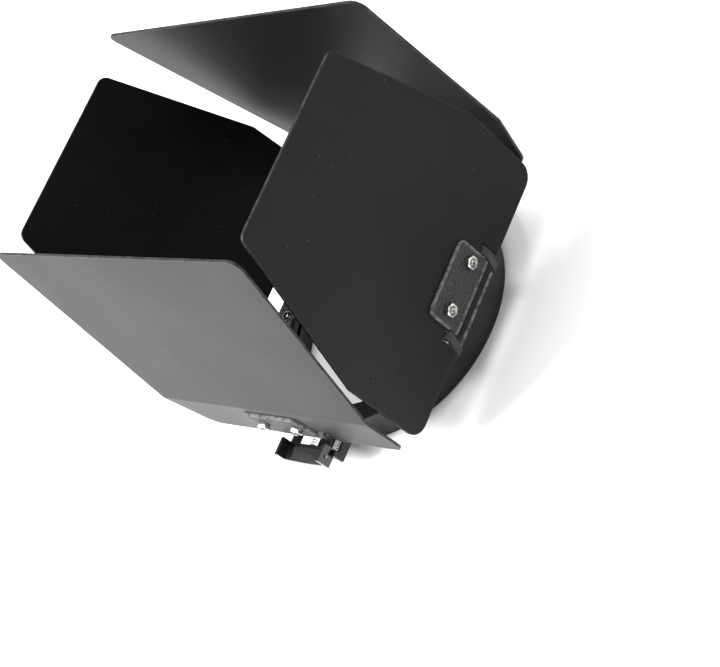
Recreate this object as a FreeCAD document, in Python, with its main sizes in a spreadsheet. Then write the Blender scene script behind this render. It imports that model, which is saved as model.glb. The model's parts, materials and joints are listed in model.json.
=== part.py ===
import FreeCAD, Part
import math
import os

import Sketcher
from FreeCAD import Placement, Rotation, Vector

# Barn door attachment for a small Fresnel lens housing: a fixed ring that slips over the
# lens, a rotating ring locked by a spring slide, and four hinged leaves.
# Frame: +Z along the beam, origin at the centre of the lens bore on the back face.
# Every hinge is drawn in a frame of its own: origin on the pin axis, X along the pin,
# Y forward along the beam, Z outward.

DIMENSIONS = {
    # fixed ring that slips over the lens housing
    "lens_bore_dia": 112.0,
    "lens_seat_depth": 11.0,
    "lens_stop_width": 3.0,
    "lens_stop_thick": 1.5,
    "sleeve_wall": 2.6,
    "rear_flange_thick": 2.0,
    "notch_count": 24.0,
    "notch_width": 5.0,
    "notch_depth": 1.4,
    # rotating ring
    "ring_gap": 0.3,
    "ring_clearance": 0.4,
    "band_wall": 3.7,
    "front_gap": 2.2,
    "ring_front_thick": 2.0,
    "aperture_step": 3.5,
    "circlip_set": 3.3,
    "circlip_thick": 1.0,
    "circlip_play": 0.05,
    "circlip_seat": 0.8,
    "circlip_reach": 0.9,
    "circlip_gap": 7.0,
    "groove_clearance": 0.25,
    "pad_width": 12.0,
    "pad_margin": 0.4,
    "pad_clearance": 0.1,
    # hinges
    "hinge_outset": 8.6,
    "hinge_rise": 14.5,
    "sheet_thick": 1.2,
    "leaf_offset": 1.1,
    "leaf_tail": 7.0,
    "knuckle_dia": 6.2,
    "knuckle_length": 3.7,
    "leg_lean": 25.0,
    "tongue_inset": 1.5,
    "pin_dia": 2.4,
    "pin_clearance": 0.05,
    "pin_head_dia": 3.6,
    "pin_head_thick": 0.8,
    "pin_rivet_dia": 3.0,
    "pin_rivet_thick": 0.7,
    "washer_dia": 4.4,
    "washer_thick": 0.6,
    "washer_gap": 0.1,
    "bend_radius": 1.0,
    "web_inset": 2.0,
    "web_screw_inset": 4.3,
    "web_screw_spacing": 20.0,
    # hinge plates and their fixings
    "plate_width": 37.0,
    "plate_length": 20.0,
    "plate_start": 4.6,
    "plate_corner": 3.0,
    "ear_flat_share": 0.6,
    "leaf_screw_inset": 6.75,
    "leaf_screw_ahead": 10.4,
    "screw_dia": 3.0,
    "screw_clearance": 0.1,
    "screw_head_dia": 5.6,
    "screw_head_thick": 1.8,
    "socket_width": 2.0,
    "nut_width": 5.5,
    "nut_thick": 2.4,
    "screw_tip": 0.9,
    "bracket_screw_tip": 0.4,
    # leaves
    "leaf_corner": 5.0,
    "leaf_rear_corner": 7.5,
    "narrow_inset": 4.3,
    "narrow_straight": 47.5,
    "narrow_taper": 23.5,
    "narrow_length": 129.0,
    "wide_inset": 4.05,
    "wide_flange": 30.0,
    "wide_flange_flare": 5.5,
    "wide_length": 136.0,
    "wide_panel_flare": 16.75,
    "wide_bend_angle": 14.0,
    "slot_clearance": 0.3,
    "slot_ahead": 1.0,
    # leaf angles from the beam, positive outward
    "right_angle": 2.0,
    "left_angle": 7.6,
    "top_angle": 6.5,
    "bottom_angle": 4.3,
    # lock slide and its guide
    "stem_width": 8.0,
    "stem_thick": 2.4,
    "stem_cover": 0.7,
    "stem_side_gap": 0.4,
    "tooth_width": 4.2,
    "tooth_gap": 0.3,
    "grip_width": 31.0,
    "grip_set": 3.1,
    "grip_length": 8.8,
    "grip_step": 0.5,
    "grip_height": 7.7,
    "grip_wall": 1.8,
    "grip_web": 2.7,
    "grip_hollow": 1.1,
    "riser_thick": 2.0,
    "guide_under": 2.9,
    "guide_wall": 3.3,
    "bracket_gap": 0.4,
    "lug_thick": 1.7,
    "lug_gap": 0.5,
    "lug_under": 5.2,
    "lug_over": 1.8,
    "lug_cover": 3.4,
    "spring_dia": 3.0,
    "spring_wire": 0.5,
    "spring_aside": 4.5,
    "spring_turns": 6.0,
    "spring_gap": 0.15,
    "grip_pin_dia": 1.6,
    "grip_pin_out": 5.0,
    "grip_pin_up": 4.4,
    "grip_pin_proud": 0.5,
    # how far a cutting shape runs past what it cuts
    "overcut": 1.0,
}

doc = FreeCAD.newDocument("barn_door")
sheet = doc.addObject("Spreadsheet::Sheet", "dims")
for row, (alias, size) in enumerate(DIMENSIONS.items(), start=1):
    sheet.set(f"A{row}", alias.replace("_", " "))
    sheet.set(f"B{row}", str(size))
    sheet.setAlias(f"B{row}", alias)
doc.recompute()


def expr(text):
    """An expression on the sheet: every driving dimension's name becomes dims.name."""
    words = []
    word = ""
    for letter in text + " ":
        if letter.isalnum() or letter in "_.":
            word += letter
            continue
        words.append("dims." + word if word in DIMENSIONS else word)
        words.append(letter)
        word = ""
    return "".join(words).strip()


def size_of(text):
    """The present value of such an expression."""
    return float(sheet.evalExpression(expr(text)))


# ---------------------------------------------------------------- derived sizes
SEAT_R = "(lens_bore_dia / 2)"
SLEEVE_R = f"({SEAT_R} + sleeve_wall)"
BAND_IN_R = f"({SLEEVE_R} + ring_clearance)"
COLLAR_R = f"({BAND_IN_R} + band_wall)"
APERTURE_R = f"({SEAT_R} - aperture_step)"
MOUNT_FRONT = "(lens_seat_depth + lens_stop_thick)"
BAND_BACK = "(rear_flange_thick + ring_gap)"
RING_UNDER = f"({MOUNT_FRONT} + front_gap)"
RING_FRONT = f"({RING_UNDER} + ring_front_thick)"
CLIP_BACK = f"({BAND_BACK} + circlip_set)"
CLIP_FRONT = f"({CLIP_BACK} + circlip_thick)"
CLIP_IN_R = f"({SLEEVE_R} - circlip_seat + groove_clearance / 2)"
CLIP_OUT_R = f"({BAND_IN_R} + circlip_reach)"
PAD_BACK = f"({BAND_BACK} + pad_margin)"
PAD_FRONT = f"({CLIP_BACK} - pad_margin)"
HINGE_R = f"({COLLAR_R} + hinge_outset)"
HINGE_Z = f"({RING_FRONT} + hinge_rise)"
PIN_R = "(pin_dia / 2)"
BORE_R = f"({PIN_R} + pin_clearance)"
SCREW_HOLE_R = "(screw_dia / 2 + screw_clearance)"
LEAF_UNDER = "(leaf_offset - sheet_thick / 2)"
LEAF_OUTER = "(leaf_offset + sheet_thick / 2)"
PLATE_OUTER = f"({LEAF_OUTER} + sheet_thick)"
EAR_OUT = "(plate_width / 2)"
EAR_IN = f"({EAR_OUT} - sheet_thick)"
KNUCKLE_R = "(knuckle_dia / 2)"
KNUCKLE_IN = f"({EAR_OUT} + washer_thick + 2 * washer_gap)"
KNUCKLE_END = f"({KNUCKLE_IN} + knuckle_length)"
WEB_BACK = "(-hinge_rise)"
WEB_FRONT = f"({WEB_BACK} + sheet_thick)"
WEB_SCREW_R = f"({COLLAR_R} - web_screw_inset)"
LEG_LEAN = "(leg_lean * 1 deg)"
LEG_BASE = f"({KNUCKLE_R} / cos({LEG_LEAN}) - hinge_rise * tan({LEG_LEAN}))"
LEG_RUN = f"((hinge_rise - {KNUCKLE_R} * sin({LEG_LEAN})) / cos({LEG_LEAN}))"
PLATE_BACK = "(plate_start - leaf_tail)"
LEAF_SCREW_Y = f"({PLATE_BACK} + leaf_screw_ahead)"
LEAF_SCREW_X = f"({EAR_OUT} - leaf_screw_inset)"
NARROW_HALF = f"({HINGE_R} - narrow_inset)"
WIDE_HALF = f"({HINGE_R} - wide_inset)"
FOLD_HALF = f"({WIDE_HALF} + wide_flange_flare)"
TIP_HALF = f"({FOLD_HALF} + wide_panel_flare)"
SLOT_IN = f"({EAR_IN} - pin_rivet_thick - slot_clearance)"
SLOT_OUT = f"({KNUCKLE_END} + pin_head_thick + slot_clearance)"
SLOT_FRONT = f"({KNUCKLE_R} + slot_ahead)"
STEM_BACK = f"({MOUNT_FRONT} - stem_cover - stem_thick)"
STEM_TOP = f"({STEM_BACK} + stem_thick)"
TOOTH_R = f"({SLEEVE_R} - notch_depth + tooth_gap)"
STEM_IN_R = f"({SLEEVE_R} + 2 * tooth_gap)"
GRIP_IN = f"({HINGE_R} + grip_set)"
GRIP_OUT = f"({GRIP_IN} + grip_length)"
GRIP_HALF = "(grip_width / 2)"
GRIP_BACK = f"({RING_FRONT} - grip_step)"
GRIP_FRONT = f"({GRIP_BACK} + grip_height)"
GUIDE_HALF = f"({GRIP_HALF} + lug_gap + lug_thick)"
GUIDE_OUT = f"({COLLAR_R} + guide_wall)"

SIDES = {"right": 0.0, "top": 90.0, "left": 180.0, "bottom": 270.0}


def hinge_place(side, moving=False):
    """The hinge frame of one side, turned about its pin by the leaf's angle when moving."""
    turn = Rotation(Vector(0, 0, 1), SIDES[side])
    stand = Rotation(Vector(0, 1, 0), Vector(0, 0, 1), Vector(1, 0, 0), "XYZ")
    at = Vector(size_of(HINGE_R), 0, size_of(HINGE_Z))
    place = Placement(turn.multVec(at), turn * stand)
    if moving:
        swing = Rotation(Vector(1, 0, 0), size_of(f"{side}_angle"))
        place = place * Placement(Vector(0, 0, 0), swing)
    return place


# ---------------------------------------------------------------- drawing helpers
def plane(body, role):
    """One of a body's own origin planes."""
    return next(o for o in body.Origin.OriginFeatures if o.Role == role)


def new_sketch(body, name, role, height="0"):
    """An empty sketch on an origin plane, lifted along the plane's normal."""
    sketch = body.newObject("Sketcher::SketchObject", name)
    sketch.AttachmentSupport = [(plane(body, role), "")]
    sketch.MapMode = "FlatFace"
    if height != "0":
        sketch.setExpression("AttachmentOffset.Base.z", expr(height))
    return sketch


def pin_point(sketch, line, end, x, y):
    """Dimension one point of the sketch from the origin."""
    for axis, kind, text in ((-2, "DistanceX", x), (-1, "DistanceY", y)):
        if text == "0":
            sketch.addConstraint(Sketcher.Constraint("PointOnObject", line, end, axis))
            continue
        made = Sketcher.Constraint(kind, -1, 1, line, end, size_of(text))
        index = sketch.addConstraint(made)
        sketch.setExpression(f"Constraints[{index}]", expr(text))


def polygon(sketch, points):
    """A closed outline of straight lines through points given as pairs of expressions."""
    first = sketch.GeometryCount
    spots = [Vector(size_of(x), size_of(y), 0) for x, y in points]
    count = len(points)
    for i in range(count):
        sketch.addGeometry(Part.LineSegment(spots[i], spots[(i + 1) % count]))
    for i in range(count):
        after = first + (i + 1) % count
        sketch.addConstraint(Sketcher.Constraint("Coincident", first + i, 2, after, 1))
    for i, (x, y) in enumerate(points):
        pin_point(sketch, first + i, 1, x, y)


def circle(sketch, x, y, radius):
    """A circle with its centre and radius given as expressions."""
    spot = Vector(size_of(x), size_of(y), 0)
    line = sketch.addGeometry(Part.Circle(spot, Vector(0, 0, 1), size_of(radius)))
    pin_point(sketch, line, 3, x, y)
    index = sketch.addConstraint(Sketcher.Constraint("Radius", line, size_of(radius)))
    sketch.setExpression(f"Constraints[{index}]", expr(radius))


def rectangle(sketch, x0, x1, y0, y1):
    """A rectangle between two corners given as expressions."""
    polygon(sketch, [(x0, y0), (x1, y0), (x1, y1), (x0, y1)])


def pad(body, sketch, name, length, symmetric=False):
    """Add material along the sketch's normal."""
    feature = body.newObject("PartDesign::Pad", name)
    feature.Profile = sketch
    feature.setExpression("Length", expr(length))
    if symmetric:
        feature.SideType = "Symmetric"
    sketch.Visibility = False
    doc.recompute()
    return feature


def pocket_through(body, sketch, name):
    """Cut right through the body, both ways from the sketch."""
    before = body.Shape.Volume
    feature = body.newObject("PartDesign::Pocket", name)
    feature.Profile = sketch
    feature.SideType = "Symmetric"
    feature.Type = "ThroughAll"
    doc.recompute()
    if body.Shape.Volume >= before - 1e-6:
        raise RuntimeError(f"{body.Label}: {name} cuts nothing")
    return feature


def round_edges(body, name, radius, wanted):
    """Fillet the edges of the body's tip that the test picks."""
    base = body.Tip
    edges = [f"Edge{i}" for i, e in enumerate(base.Shape.Edges, 1) if wanted(e)]
    feature = body.newObject("PartDesign::Fillet", name)
    feature.Base = (base, edges)
    feature.setExpression("Radius", expr(radius))
    doc.recompute()
    return feature


def new_body(label):
    """A PartDesign body with its name."""
    body = doc.addObject("PartDesign::Body", label)
    body.Label = label
    return body


def box(name, x0, x1, y0, y1, z0, z1):
    """A box between two corners given as expressions."""
    made = doc.addObject("Part::Box", name)
    for side, axis, low, high in (
        ("Length", "x", x0, x1),
        ("Width", "y", y0, y1),
        ("Height", "z", z0, z1),
    ):
        made.setExpression(side, expr(f"({high}) - ({low})"))
        made.setExpression(f"Placement.Base.{axis}", expr(low))
    return made


AXES = {
    "x": Rotation(Vector(0, 1, 0), 90),
    "y": Rotation(Vector(1, 0, 0), -90),
    "z": Rotation(),
}


def rod(name, axis, radius, start, end, x="0", y="0", z="0"):
    """A cylinder along an axis, from start to end, at x, y, z on the other two."""
    made = doc.addObject("Part::Cylinder", name)
    made.Placement = Placement(Vector(0, 0, 0), AXES[axis])
    made.setExpression("Radius", expr(radius))
    made.setExpression("Height", expr(f"({end}) - ({start})"))
    spot = {"x": x, "y": y, "z": z, axis: start}
    for letter, text in spot.items():
        made.setExpression(f"Placement.Base.{letter}", expr(text))
    return made


def fuse(name, shapes):
    """One solid from several."""
    made = doc.addObject("Part::MultiFuse", name)
    made.Shapes = shapes
    made.Refine = True
    return made


def cut(name, base, tools):
    """The base less the tools."""
    made = doc.addObject("Part::Cut", name)
    made.Base = base
    made.Tool = tools[0] if len(tools) == 1 else fuse(f"{name}_tools", tools)
    return made


def group(name, shapes):
    """Separate solids that share one node."""
    made = doc.addObject("Part::Compound", name)
    made.Links = shapes
    return made


nodes = {}


def keep(label, made, place=None):
    """Record a finished sub-part under its node name, at its place."""
    made.Label = label
    if place is not None:
        made.Placement = place
    nodes[label] = made
    return made


# ---------------------------------------------------------------- fixed ring
def make_mount_ring():
    """A turned ring: rear flange, lens bore with a front stop, circlip groove and notches."""
    body = new_body("mount_ring")
    profile = new_sketch(body, "mount_profile", "XZ_Plane")
    groove_floor = f"{SLEEVE_R} - circlip_seat"
    polygon(profile, [
        (SEAT_R, "0"),
        (COLLAR_R, "0"),
        (COLLAR_R, "rear_flange_thick"),
        (SLEEVE_R, "rear_flange_thick"),
        (SLEEVE_R, CLIP_BACK),
        (groove_floor, CLIP_BACK),
        (groove_floor, f"{CLIP_FRONT} + 2 * circlip_play"),
        (SLEEVE_R, f"{CLIP_FRONT} + 2 * circlip_play"),
        (SLEEVE_R, MOUNT_FRONT),
        (f"{SEAT_R} - lens_stop_width", MOUNT_FRONT),
        (f"{SEAT_R} - lens_stop_width", "lens_seat_depth"),
        (SEAT_R, "lens_seat_depth"),
    ])
    turned = body.newObject("PartDesign::Revolution", "mount_turned")
    turned.Profile = profile
    turned.ReferenceAxis = (profile, ["V_Axis"])
    turned.Angle = 360
    doc.recompute()
    notch = new_sketch(body, "notch_outline", "XY_Plane", MOUNT_FRONT)
    rectangle(notch, "-notch_width / 2", "notch_width / 2",
              f"-{SLEEVE_R} - overcut", f"-{SLEEVE_R} + notch_depth")
    slot = body.newObject("PartDesign::Pocket", "notch")
    slot.Profile = notch
    slot.setExpression("Length", expr(f"{MOUNT_FRONT} - {STEM_BACK} + tooth_gap"))
    doc.recompute()
    round_ring = body.newObject("PartDesign::PolarPattern", "notches")
    round_ring.Originals = [slot]
    round_ring.Axis = (notch, ["N_Axis"])
    round_ring.Angle = 360
    round_ring.setExpression("Occurrences", expr("notch_count"))
    body.Tip = round_ring
    doc.recompute()
    keep("mount_ring", body)


def make_circlip():
    """A split spring ring in the groove between the two rings."""
    bottom = f"{CLIP_BACK} + circlip_play"
    top = f"{CLIP_FRONT} + circlip_play"
    outer = rod("circlip_outer", "z", CLIP_OUT_R, bottom, top)
    inner = rod("circlip_inner", "z", CLIP_IN_R, f"{bottom} - overcut", f"{top} + overcut")
    gap = box("circlip_mouth", "0", f"{CLIP_OUT_R} + overcut", "-circlip_gap / 2",
              "circlip_gap / 2", f"{bottom} - overcut", f"{top} + overcut")
    keep("retaining_circlip", cut("circlip_cut", outer, [inner, gap]))


# ---------------------------------------------------------------- rotating ring
PAD_TURNS = (30.0, 150.0, 210.0, 330.0)


def make_rotating_ring():
    """A turned band with a front flange, pad pockets, screw holes and the lock's window."""
    body = new_body("rotating_ring")
    profile = new_sketch(body, "band_profile", "XZ_Plane")
    groove_r = f"{CLIP_OUT_R} + groove_clearance"
    polygon(profile, [
        (BAND_IN_R, BAND_BACK),
        (COLLAR_R, BAND_BACK),
        (COLLAR_R, RING_FRONT),
        (APERTURE_R, RING_FRONT),
        (APERTURE_R, RING_UNDER),
        (BAND_IN_R, RING_UNDER),
        (BAND_IN_R, f"{CLIP_FRONT} + groove_clearance"),
        (groove_r, f"{CLIP_FRONT} + groove_clearance"),
        (groove_r, f"{CLIP_BACK} - groove_clearance"),
        (BAND_IN_R, f"{CLIP_BACK} - groove_clearance"),
    ])
    turned = body.newObject("PartDesign::Revolution", "band_turned")
    turned.Profile = profile
    turned.ReferenceAxis = (profile, ["V_Axis"])
    turned.Angle = 360
    doc.recompute()
    holes = new_sketch(body, "screw_holes", "XY_Plane", RING_FRONT)
    for turn in (0, 90):
        for along in ("-web_screw_spacing / 2", "web_screw_spacing / 2"):
            for radius in (f"-{WEB_SCREW_R}", WEB_SCREW_R):
                x, y = (radius, along) if turn == 0 else (along, radius)
                circle(holes, x, y, SCREW_HOLE_R)
    drilled = body.newObject("PartDesign::Pocket", "drilled")
    drilled.Profile = holes
    drilled.setExpression("Length", expr("ring_front_thick + bracket_screw_tip + screw_clearance"))
    doc.recompute()
    window = new_sketch(body, "lock_window", "XZ_Plane")
    rectangle(window, "-stem_width / 2 - stem_side_gap", "stem_width / 2 + stem_side_gap",
              f"{STEM_BACK} - stem_side_gap", f"{STEM_TOP} + stem_side_gap")
    opened = body.newObject("PartDesign::Pocket", "window_cut")
    opened.Profile = window
    opened.Type = "Length"
    opened.setExpression("Length", expr(f"{COLLAR_R} + overcut"))
    opened.Reversed = True
    doc.recompute()
    keep("rotating_ring", body)


def make_friction_pads():
    """Felt blocks glued in the band's wall that drag on the fixed ring."""
    below = f"{PAD_BACK} - overcut"
    above = f"{PAD_FRONT} + overcut"
    pads = []
    for number, turn in enumerate(PAD_TURNS):
        block = box(f"pad_block_{number}", "-pad_width / 2", "pad_width / 2",
                    f"{SEAT_R} - overcut", BAND_IN_R, PAD_BACK, PAD_FRONT)
        outer = rod(f"pad_outer_{number}", "z", BAND_IN_R, below, above)
        inner = rod(f"pad_inner_{number}", "z", f"{SLEEVE_R} + pad_clearance", below, above)
        sector = doc.addObject("Part::MultiCommon", f"pad_sector_{number}")
        sector.Shapes = [block, outer]
        pad_piece = cut(f"pad_piece_{number}", sector, [inner])
        pad_piece.Placement = Placement(Vector(0, 0, 0), Rotation(Vector(0, 0, 1), turn - 90))
        pads.append(pad_piece)
    keep("friction_pads", group("pads", pads))


# ---------------------------------------------------------------- hinge brackets
def make_bracket(side):
    """A stamped bracket: a web on the ring and two leaning legs that end in rolled knuckles."""
    name = f"hinge_bracket_{side}"
    tongue_end = f"{LEG_BASE} - tongue_inset"
    flat = [box(f"{name}_web", f"-{KNUCKLE_END}", KNUCKLE_END, WEB_BACK, WEB_FRONT,
                f"{APERTURE_R} + web_inset - {HINGE_R}", tongue_end)]
    legs = []
    bores = []
    for sign in ("-", ""):
        ends = [f"{sign}{KNUCKLE_IN}", f"{sign}{KNUCKLE_END}"]
        low, high = ends if sign == "" else ends[::-1]
        tag = "a" if sign else "b"
        flat.append(box(f"{name}_foot_{tag}", low, high, WEB_BACK, WEB_FRONT,
                        f"{tongue_end} - overcut", LEG_BASE))
        legs.append(box(f"{name}_leg_{tag}", low, high, f"-{LEG_RUN}", "0",
                        f"{KNUCKLE_R} - sheet_thick", KNUCKLE_R))
        legs.append(rod(f"{name}_knuckle_{tag}", "x", KNUCKLE_R, low, high))
        bores.append(rod(f"{name}_bore_{tag}", "x", BORE_R,
                         f"{low} - overcut", f"{high} + overcut"))
        bores.append(rod(f"{name}_hole_{tag}", "y", SCREW_HOLE_R,
                         f"{WEB_BACK} - overcut", f"{WEB_FRONT} + overcut",
                         x=f"{sign}web_screw_spacing / 2", z=f"{WEB_SCREW_R} - {HINGE_R}"))
    leaning = fuse(f"{name}_legs", legs)
    leaning.Placement = Placement(Vector(0, 0, 0), Rotation(Vector(1, 0, 0), size_of("leg_lean")))
    blank = cut(f"{name}_blank", fuse(f"{name}_solid", flat + [leaning]), bores)
    doc.recompute()
    bend_y = size_of(WEB_BACK)
    bend_z = size_of(LEG_BASE)
    rounded = doc.addObject("Part::Fillet", f"{name}_bent")
    rounded.Base = blank
    radius = size_of("bend_radius")
    rounded.Edges = [
        (i, radius, radius)
        for i, e in enumerate(blank.Shape.Edges, 1)
        if abs(e.CenterOfMass.y - bend_y) < 1e-4 and abs(e.CenterOfMass.z - bend_z) < 1e-4
    ]
    doc.recompute()
    keep(name, rounded, hinge_place(side))


def make_screws(side):
    """Two button-head screws that hold the bracket to the ring."""
    name = f"bracket_screws_{side}"
    pieces = []
    for tag, sign in (("a", "-"), ("b", "")):
        along = f"{sign}web_screw_spacing / 2"
        deep = f"{WEB_SCREW_R} - {HINGE_R}"
        shank = rod(f"{name}_shank_{tag}", "y", "screw_dia / 2",
                    f"{WEB_BACK} - ring_front_thick - bracket_screw_tip", WEB_FRONT, x=along, z=deep)
        head = rod(f"{name}_head_{tag}", "y", "screw_head_dia / 2",
                   WEB_FRONT, f"{WEB_FRONT} + screw_head_thick", x=along, z=deep)
        socket = rod(f"{name}_socket_{tag}", "y", "socket_width / 2",
                     f"{WEB_FRONT} + screw_head_thick / 2",
                     f"{WEB_FRONT} + screw_head_thick + overcut", x=along, z=deep)
        solid = fuse(f"{name}_solid_{tag}", [shank, head])
        pieces.append(cut(f"{name}_piece_{tag}", solid, [socket]))
    keep(name, group(f"{name}_pair", pieces), hinge_place(side))


def make_pins(side):
    """Two short shouldered rivets, one through each knuckle and ear."""
    name = f"hinge_pins_{side}"
    pieces = []
    for tag, sign in (("a", -1), ("b", 1)):
        shank = rod(f"{name}_shank_{tag}", "x", PIN_R, EAR_IN, KNUCKLE_END)
        head = rod(f"{name}_head_{tag}", "x", "pin_head_dia / 2",
                   KNUCKLE_END, f"{KNUCKLE_END} + pin_head_thick")
        tail = rod(f"{name}_tail_{tag}", "x", "pin_rivet_dia / 2",
                   f"{EAR_IN} - pin_rivet_thick", EAR_IN)
        solid = fuse(f"{name}_solid_{tag}", [tail, shank, head])
        if sign < 0:
            solid.Placement = Placement(Vector(0, 0, 0), Rotation(Vector(0, 1, 0), 180))
        pieces.append(solid)
    keep(name, group(f"{name}_pair", pieces), hinge_place(side))


def make_washers(side):
    """A friction washer between each ear and its knuckle."""
    name = f"friction_washers_{side}"
    middle = f"({EAR_OUT} + {KNUCKLE_IN}) / 2"
    pieces = []
    for tag, sign in (("a", -1), ("b", 1)):
        outer = rod(f"{name}_outer_{tag}", "x", "washer_dia / 2",
                    f"{middle} - washer_thick / 2", f"{middle} + washer_thick / 2")
        bore = rod(f"{name}_bore_{tag}", "x", BORE_R,
                   f"{middle} - overcut", f"{middle} + overcut")
        washer = cut(f"{name}_piece_{tag}", outer, [bore])
        if sign < 0:
            washer.Placement = Placement(Vector(0, 0, 0), Rotation(Vector(0, 1, 0), 180))
        pieces.append(washer)
    keep(name, group(f"{name}_pair", pieces), hinge_place(side))


# ---------------------------------------------------------------- leaves
def leaf_holes(body):
    """The slots that clear the legs and ears, and the two screw holes."""
    slots = new_sketch(body, "hinge_slots", "XY_Plane")
    for low, high in ((f"-{SLOT_OUT}", f"-{SLOT_IN}"), (SLOT_IN, SLOT_OUT)):
        rectangle(slots, low, high, "-leaf_tail - overcut", SLOT_FRONT)
    pocket_through(body, slots, "slots_cut")
    holes = new_sketch(body, "screw_holes", "XY_Plane")
    for sign in ("-", ""):
        circle(holes, f"{sign}{LEAF_SCREW_X}", LEAF_SCREW_Y, SCREW_HOLE_R)
    pocket_through(body, holes, "screw_holes_cut")


def across_sheet(edge):
    """True for a straight edge that runs through the sheet's thickness."""
    return abs(edge.Length - size_of("sheet_thick")) < 1e-3


def at_tail(edge):
    """True for an edge at the hinge end of a leaf."""
    return abs(edge.CenterOfMass.y + size_of("leaf_tail")) < 0.5


def make_narrow_leaf(side):
    """A flat leaf: parallel sides that turn in towards a narrower tip."""
    body = new_body(f"leaf_{side}")
    outline = new_sketch(body, "leaf_outline", "XY_Plane", LEAF_UNDER)
    half = NARROW_HALF
    tip = f"({NARROW_HALF} - narrow_taper)"
    shoulder = "narrow_straight - leaf_tail"
    far = "narrow_length - leaf_tail"
    polygon(outline, [
        (half, "-leaf_tail"), (half, shoulder), (tip, far),
        (f"-{tip}", far), (f"-{half}", shoulder), (f"-{half}", "-leaf_tail"),
    ])
    pad(body, outline, "sheet", "sheet_thick")
    round_edges(body, "corners", "leaf_corner", lambda e: across_sheet(e) and not at_tail(e))
    round_edges(body, "rear_corners", "leaf_rear_corner",
                lambda e: across_sheet(e) and at_tail(e))
    leaf_holes(body)
    keep(f"leaf_{side}", body, hinge_place(side, moving=True))


def make_wide_leaf(side):
    """A flared leaf: a short flange at the hinge and a panel bent inward from it."""
    body = new_body(f"leaf_{side}")
    bend = "wide_flange - leaf_tail"
    run = "(wide_length - wide_flange)"
    lean = "wide_bend_angle * 1 deg"
    panel_y = f"{bend} + {run} * cos({lean})"
    panel_z = f"-{run} * sin({lean})"
    mitre = f"sheet_thick * tan({lean} / 2)"
    strip = new_sketch(body, "bent_strip", "YZ_Plane")
    polygon(strip, [
        ("-leaf_tail", LEAF_UNDER),
        (f"{bend} - {mitre} / 2", LEAF_UNDER),
        (f"{panel_y} - sheet_thick / 2 * sin({lean})",
         f"leaf_offset + {panel_z} - sheet_thick / 2 * cos({lean})"),
        (f"{panel_y} + sheet_thick / 2 * sin({lean})",
         f"leaf_offset + {panel_z} + sheet_thick / 2 * cos({lean})"),
        (f"{bend} + {mitre} / 2", LEAF_OUTER),
        ("-leaf_tail", LEAF_OUTER),
    ])
    pad(body, strip, "sheet", f"2 * {TIP_HALF}", symmetric=True)
    sides = new_sketch(body, "side_waste", "XY_Plane")
    for sign in ("-", ""):
        polygon(sides, [
            (f"{sign}{WIDE_HALF}", "-leaf_tail - overcut"),
            (f"{sign}{WIDE_HALF}", "-leaf_tail"),
            (f"{sign}{FOLD_HALF}", bend),
            (f"{sign}{TIP_HALF}", f"{panel_y} + overcut"),
            (f"{sign}({TIP_HALF} + overcut)", f"{panel_y} + overcut"),
            (f"{sign}({TIP_HALF} + overcut)", "-leaf_tail - overcut"),
        ])
    pocket_through(body, sides, "sides_cut")
    tip = size_of(panel_y) - 2
    short = 2 * size_of("sheet_thick")
    round_edges(body, "corners", "leaf_corner",
                lambda e: e.Length < short and e.CenterOfMass.y > tip)
    round_edges(body, "rear_corners", "leaf_rear_corner",
                lambda e: e.Length < short and at_tail(e))
    leaf_holes(body)
    keep(f"leaf_{side}", body, hinge_place(side, moving=True))


def make_plate(side):
    """The plate on the leaf's outer face, with an ear at each end for the pins."""
    name = f"hinge_plate_{side}"
    body = new_body(name)
    outline = new_sketch(body, "plate_outline", "XY_Plane", LEAF_OUTER)
    front = f"{PLATE_BACK} + plate_length"
    rectangle(outline, f"-{EAR_OUT}", EAR_OUT, PLATE_BACK, front)
    pad(body, outline, "plate", "sheet_thick")
    ends = size_of(front) - 0.1
    round_edges(body, "front_corners", "plate_corner",
                lambda e: across_sheet(e) and e.CenterOfMass.y > ends)
    foot = f"{KNUCKLE_R} * ear_flat_share"
    for end, low in (("right", EAR_IN), ("left", f"-{EAR_OUT}")):
        ear = new_sketch(body, f"{end}_ear_profile", "YZ_Plane", low)
        polygon(ear, [
            (PLATE_BACK, PLATE_OUTER), (PLATE_BACK, f"-{foot}"),
            (f"{PLATE_BACK} + {foot} / 2", f"-{KNUCKLE_R}"), (foot, f"-{KNUCKLE_R}"),
            (KNUCKLE_R, f"-{foot}"), (KNUCKLE_R, PLATE_OUTER),
        ])
        pad(body, ear, f"{end}_ear", "sheet_thick")
    bores = new_sketch(body, "pin_bores", "YZ_Plane")
    circle(bores, "0", "0", BORE_R)
    pocket_through(body, bores, "pin_bores_cut")
    holes = new_sketch(body, "screw_holes", "XY_Plane")
    for sign in ("-", ""):
        circle(holes, f"{sign}{LEAF_SCREW_X}", LEAF_SCREW_Y, SCREW_HOLE_R)
    pocket_through(body, holes, "screw_holes_cut")
    keep(name, body, hinge_place(side, moving=True))


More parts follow.
